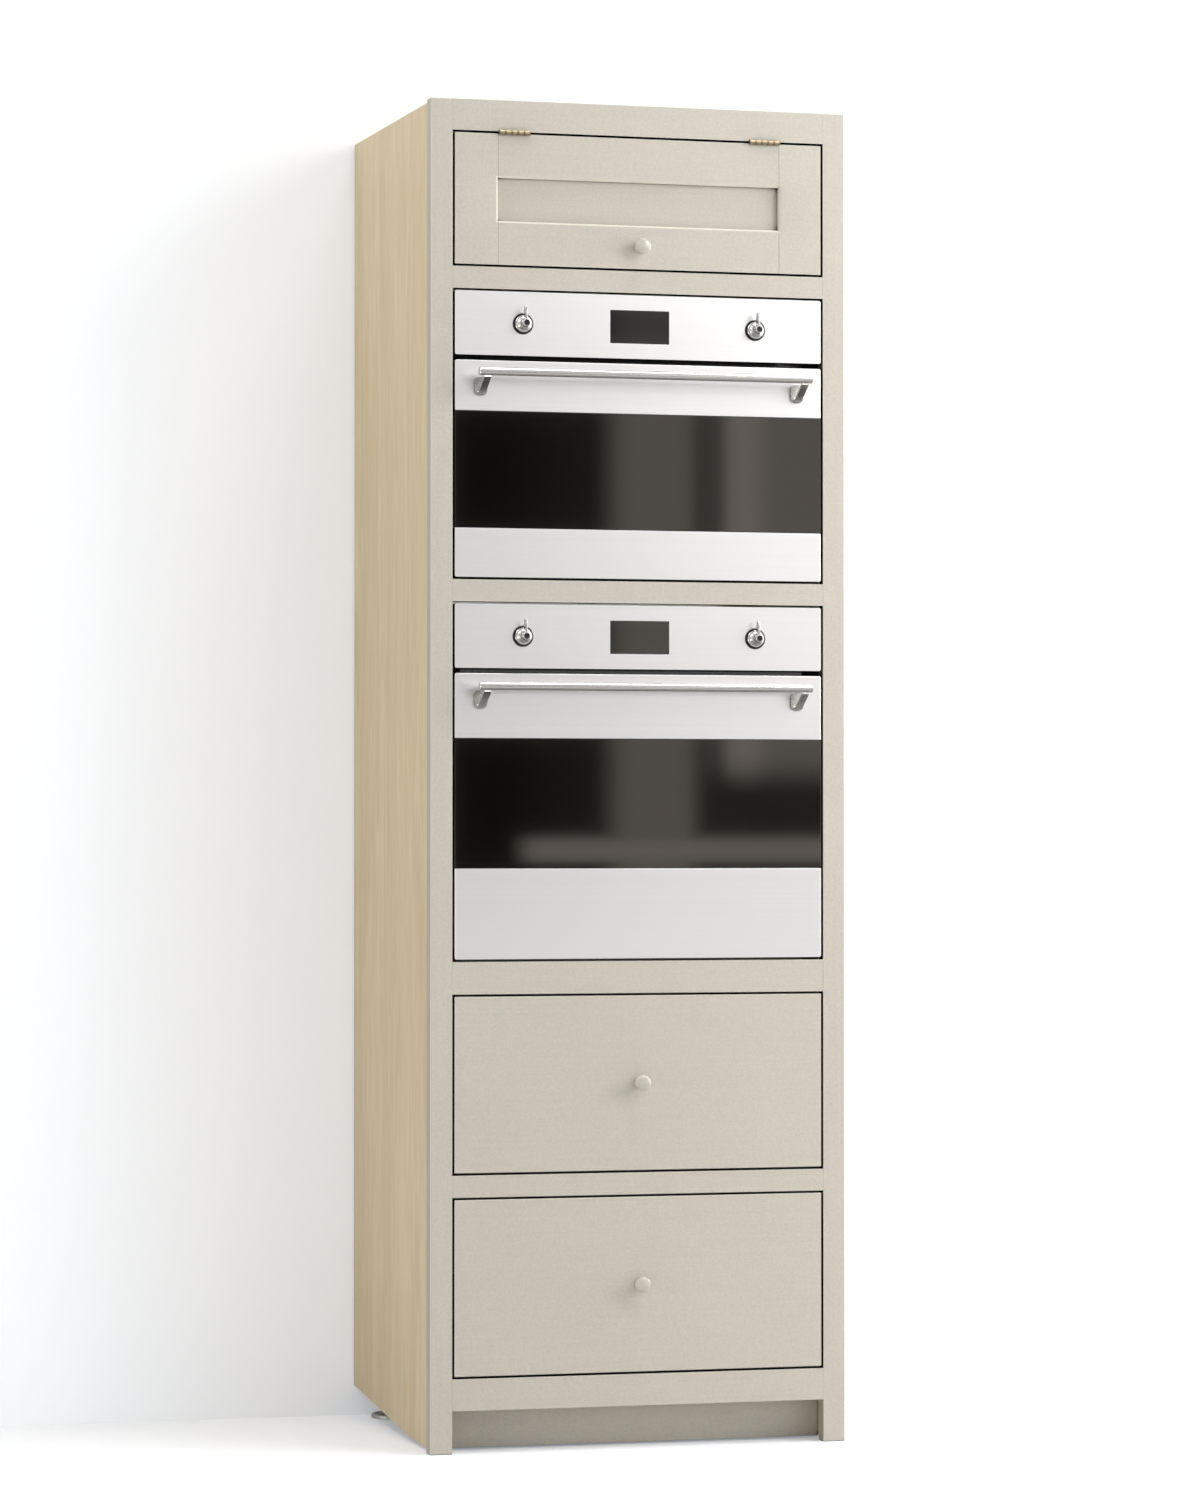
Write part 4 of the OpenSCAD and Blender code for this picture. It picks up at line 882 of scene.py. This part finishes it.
for level in ("upper", "lower"):
    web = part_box(level + "_drawer_box")[1].x + screw["runnerSheet"]
    places = runnerPlaces(level, web, screw["drawerEnd"], 1)
    addScrews(level + "_runner_screws", level + "_drawer", places, "footMetal", rise=screw["drawerRise"])
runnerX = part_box("cabinet_runners")[1].x - screw["runnerSheet"]
places = [place for level in ("upper", "lower") for place in runnerPlaces(level, runnerX, screw["cabinetEnd"], -1)]
addScrews("cabinet_runner_screws", "cabinet", places, "footMetal", rise=screw["cabinetRise"])
bpy.data.objects.remove(screwShape)
print("screws grown")


# Inside the ovens
inside = {"casingEdge": 0.3 * mm, "cavityEdge": 0.5 * mm, "sealEdge": 0.6 * mm, "coverEdge": 0.4 * mm,
          "armEdge": 0.4 * mm}
for oven in ("compact", "main"):
    dress(oven + "_oven_casing", "zinc", inside["casingEdge"])
    dress(oven + "_oven_cavity", "enamel", inside["cavityEdge"])
dress("door_seals", "sealRubber", inside["sealEdge"])
dress("shelf_racks", "wire", 0)
dress("fan_covers", "enamel", inside["coverEdge"])
dress("grill_elements", "element", 0)
dress("door_hinge_arms", "zinc", inside["armEdge"])
print("oven interiors dressed")


# Studio
studio = {"halfWidth": 9, "halfDepth": 12, "wallTop": 7, "wallGap": 3 * mm, "albedo": 0.80,
          "glowColour": (0.95, 1.0, 1.08, 1), "floorGlow": 0.285, "wallGlow": 0.265,
          "wallRise": 0.11, "riseRange": (0.33, 0.90), "farRange": (2.2, 4.0), "farGlow": 0.55,
          "rearFade": 2 * mm, "rearGlow": 0.30, "hole": {"x": 0.30, "low": 0.16, "high": 2.05}}
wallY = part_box("side_panels")[1].y + studio["wallGap"]


def rectangle(left, right, low, high):
    return [(left, low), (right, low), (right, high), (left, high)]


def stagePlane(name, corners, material, faces=((0, 1, 2, 3),)):
    mesh = bpy.data.meshes.new(name)
    mesh.from_pydata(corners, [], faces)
    plane = linked(name, mesh)
    mesh.materials.append(material)
    return plane


def backdropFinish(name, glow, spread, oneSided=False):
    # White for the camera where no shadow falls, with the object's shadow kept; a one-sided one is clear from behind
    material, r = newMaterial(name)
    camera = r.add("ShaderNodeLightPath")["Is Camera Ray"]
    tone = studio["albedo"]
    diffuse = r.add("ShaderNodeBsdfDiffuse", {"Color": (tone, tone, tone, 1)})["BSDF"]
    strength = camera * (spread(r) + glow)
    light = r.add("ShaderNodeEmission", {"Color": studio["glowColour"], "Strength": strength})["Emission"]
    both = r.add("ShaderNodeAddShader", {0: diffuse, 1: light})["Shader"]
    if oneSided:
        behind = camera * r.add("ShaderNodeNewGeometry")["Backfacing"]
        clear = r.add("ShaderNodeBsdfTransparent")["BSDF"]
        both = r.add("ShaderNodeMixShader", {0: behind, 1: both, 2: clear})["Shader"]
    r.output(both)
    return material


def floorSpread(r):
    # Whiter where the lamps don't reach: far from the object and behind the wall
    x, y, z = r.axes()
    far = r.smooth((x * x + y * y) ** 0.5, *studio["farRange"])
    return far * studio["farGlow"] + r.smooth(y, wallY, wallY + studio["rearFade"]) * studio["rearGlow"]


def paintedWallLight(r):
    # Painted light: the wall's camera glow grows whiter towards the left, leaving it painted darker near the object
    return r.smooth(r.axes()[0] * -1, *studio["riseRange"]) * studio["wallRise"]


half, deep = studio["halfWidth"], studio["halfDepth"]
stagePlane("floor", [(x, y, 0) for x, y in rectangle(-half, half, -deep, deep)],
           backdropFinish("floorWhite", studio["floorGlow"], floorSpread))

# The wall has an opening behind the object, which hides it from the front and lets light reach its back
hole = studio["hole"]
outer = rectangle(-half, half, 0, studio["wallTop"])
inner = rectangle(-hole["x"], hole["x"], hole["low"], hole["high"])
stagePlane("wall", [(x, wallY, z) for x, z in outer + inner],
           backdropFinish("wallWhite", studio["wallGlow"], paintedWallLight, oneSided=True),
           [(i, (i + 1) % 4, 4 + (i + 1) % 4, 4 + i) for i in range(4)])

# What the glass and the steel mirror: places are in metres, on a card in front of the object
cards = {"distance": 2.9, "x": (0.43, 1.50), "margin": 0.02, "screenHalf": 0.026, "colour": (1, 0.933, 0.885, 1),
         "curtain": (0.52, 0.745), "column": (0.745, 0.835), "columnEnd": (0.945, 1.010), "columnTone": 0.97,
         "window": (1.025, 1.068), "windowTone": 0.66, "glint": (1.105, 1.150), "glintTone": 0.52,
         "sillTop": (1.035, 1.125), "between": (0.9, 1.010), "betweenTone": 0.3,
         "shelfLow": (0.880, 0.900), "shelfHigh": (0.925, 0.958), "shelfStart": (0.555, 0.625), "shelfTone": 1.38,
         "headFade": (1.90, 2.06), "headLoss": 0.62, "murk": 0.06}
cornerCard = {"x": (-2.5, 0.43), "z": (0.01, 3.2), "tone": 0.70, "colour": (1, 0.98, 0.96, 1)}
floorCard = {"half": 4, "z": 4 * mm, "back": 0.05, "fall": (0.7, 1.5), "near": 0.38, "far": 0.92,
             "colour": (1, 0.97, 0.94, 1)}
viewpoint = {"x": -2.186, "out": 7.439, "z": 0.956, "yaw": 15.919, "pitch": 0.933, "lens": 119.78,
             "sensor": 36, "clipEnd": 60}


def mirroredRoom(r):
    # A dark room edge, a bright doorway, then a window over a low shelf
    c = cards
    x, y, z = r.axes()
    doorway = r.smooth(x, *c["column"]) * (1 - r.smooth(x, *c["columnEnd"]))
    window = r.smooth(x, *c["window"]) * r.smooth(z, *c["sillTop"])
    glint = window * (1 - r.smooth(x, *c["glint"]))
    shelf = r.smooth(x, *c["shelfStart"]) * r.smooth(z, *c["shelfLow"]) * (1 - r.smooth(z, *c["shelfHigh"]))
    dim = 1 - r.smooth(z, *c["headFade"]) * c["headLoss"]
    murk = r.smooth(x, *c["curtain"]) * c["murk"] + r.smooth(x, *c["columnEnd"]) * c["murk"]
    between = r.smooth(x, *c["between"]) * r.smooth(z, *c["sillTop"]) * c["betweenTone"]
    outdoors = window * c["windowTone"] + glint * c["glintTone"] + between
    level = (doorway * c["columnTone"]).combine("MAXIMUM", outdoors)
    return (level * dim).combine("MAXIMUM", shelf * c["shelfTone"]) + murk


def mirroredFloor(r):
    # Darker close to the object, which gives round steel its dark lower line
    ahead = faceY - r.axes()[1]
    return r.smooth(ahead, *floorCard["fall"]) * (floorCard["far"] - floorCard["near"]) + floorCard["near"]


def glossCard(name, corners, colour, build):
    material, r = newMaterial(name)
    r.output(r.add("ShaderNodeEmission", {"Color": colour, "Strength": build(r)})["Emission"])
    card = stagePlane(name, corners, material)
    for ray in ("camera", "diffuse", "shadow", "transmission"):
        setattr(card, "visible_" + ray, False)


cardY = faceY - cards["distance"]
mirrors = [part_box(oven + "_door_glass") for oven in ("compact", "main")]
for oven in ("compact", "main"):
    low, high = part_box(oven + "_control_panel")
    middle = (low + high) / 2
    lift = Vector((0, 0, cards["screenHalf"]))
    mirrors.append((middle - lift, middle + lift))
for i, corners in enumerate(mirrors):
    # Only as tall as the part of the room that the camera sees mirrored in this piece
    low, high = (corner.z + (corner.z - viewpoint["z"]) * cards["distance"] / viewpoint["out"] for corner in corners)
    seen = rectangle(*cards["x"], low - cards["margin"], high + cards["margin"])
    glossCard(f"mirroredRoom{i}", [(x, cardY, z) for x, z in seen], cards["colour"], mirroredRoom)
glossCard("mirroredCorner", [(x, cardY, z) for x, z in rectangle(*cornerCard["x"], *cornerCard["z"])],
          cornerCard["colour"], lambda r: cornerCard["tone"])
seen = rectangle(-floorCard["half"], floorCard["half"], cardY, faceY - floorCard["back"])
glossCard("mirroredFloor", [(x, y, floorCard["z"]) for x, y in seen], floorCard["colour"], mirroredFloor)

sky = {"fill": 0.20, "horizon": 1.13, "overhead": 1.02, "overRange": (0.60, 0.75), "band": 0.45,
       "bandRange": (0.34, 0.46)}


def lightWorld():
    # Even white light; what shines mirrors a sky that is bright overhead with a grey band below it
    world = scene.world = bpy.data.worlds.new("studioWorld")
    world.use_nodes = True
    r = Recipe(world.node_tree)
    path = r.add("ShaderNodeLightPath")
    up = r.add("ShaderNodeSeparateXYZ", {0: r.add("ShaderNodeTexCoord")["Generated"]})["Z"]
    over = r.smooth(up, *sky["overRange"])
    band = r.smooth(up, *sky["bandRange"]) * (1 - over)
    mirrored = sky["horizon"] * (1 - band * sky["band"] + over * (sky["overhead"] - 1))
    strength = sky["fill"] + (path["Is Camera Ray"] + path["Is Transmission Ray"]) * (1 - sky["fill"])
    strength = strength + path["Is Glossy Ray"] * (mirrored - sky["fill"])
    r.add("ShaderNodeOutputWorld", {
        "Surface": r.add("ShaderNodeBackground", {"Color": (1, 1, 1, 1), "Strength": strength})["Background"]})


lightWorld()

lamps = {
    "overhead": {"place": (1.0, -1.4, 6.4), "aim": (0.0, -0.25, 1.0), "size": (2.5, 1.8), "power": 85},
    "key": {"place": (1.7, -2.2, 2.9), "aim": (0.0, 0.0, 1.15), "size": (1.2, 1.2), "power": 30},
    "right": {"place": (2.6, -1.2, 1.6), "aim": (0.0, 0.0, 1.15), "size": (1.5, 2.0), "power": 44},
    "rightLow": {"place": (2.4, -2.4, 0.9), "aim": (0.0, 0.0, 1.15), "size": (1.5, 1.5), "power": 5},
    "leftLow": {"place": (-2.8, -1.0, 0.5), "aim": (0.0, 0.0, 1.0), "size": (1.6, 1.0), "power": 16},
    "leftHigh": {"place": (-2.2, -0.6, 3.6), "aim": (0.0, 0.0, 1.15), "size": (1.6, 1.6), "power": 34},
    "rear": {"place": (1.0, 4.2, 1.7), "aim": (0.0, 0.3, 1.0), "size": (2.5, 2.5), "power": 110},
    "front": {"place": (0.6, -5.0, 1.4), "aim": (0.0, 0.0, 1.15), "size": (3.0, 2.4), "power": 9},
}


def areaLamp(name, place, aim, size, power):
    data = bpy.data.lights.new(name, "AREA")
    data.shape = "RECTANGLE"
    data.size, data.size_y = size
    data.energy = power
    lamp = linked(name, data)
    lamp.location = place
    lamp.rotation_euler = (Vector(aim) - Vector(place)).to_track_quat("-Z", "Y").to_euler()


for name, lamp in lamps.items():
    areaLamp(name, **lamp)

cameraData = bpy.data.cameras.new("photoCamera")
cameraData.lens = viewpoint["lens"]
cameraData.sensor_width = viewpoint["sensor"]
cameraData.clip_end = viewpoint["clipEnd"]
camera = linked("photoCamera", cameraData)
camera.location = (viewpoint["x"], faceY - viewpoint["out"], viewpoint["z"])
camera.rotation_euler = (math.radians(90 + viewpoint["pitch"]), 0, -math.radians(viewpoint["yaw"]))
scene.camera = camera
scene.view_settings.view_transform = "Standard"
print("studio lit")
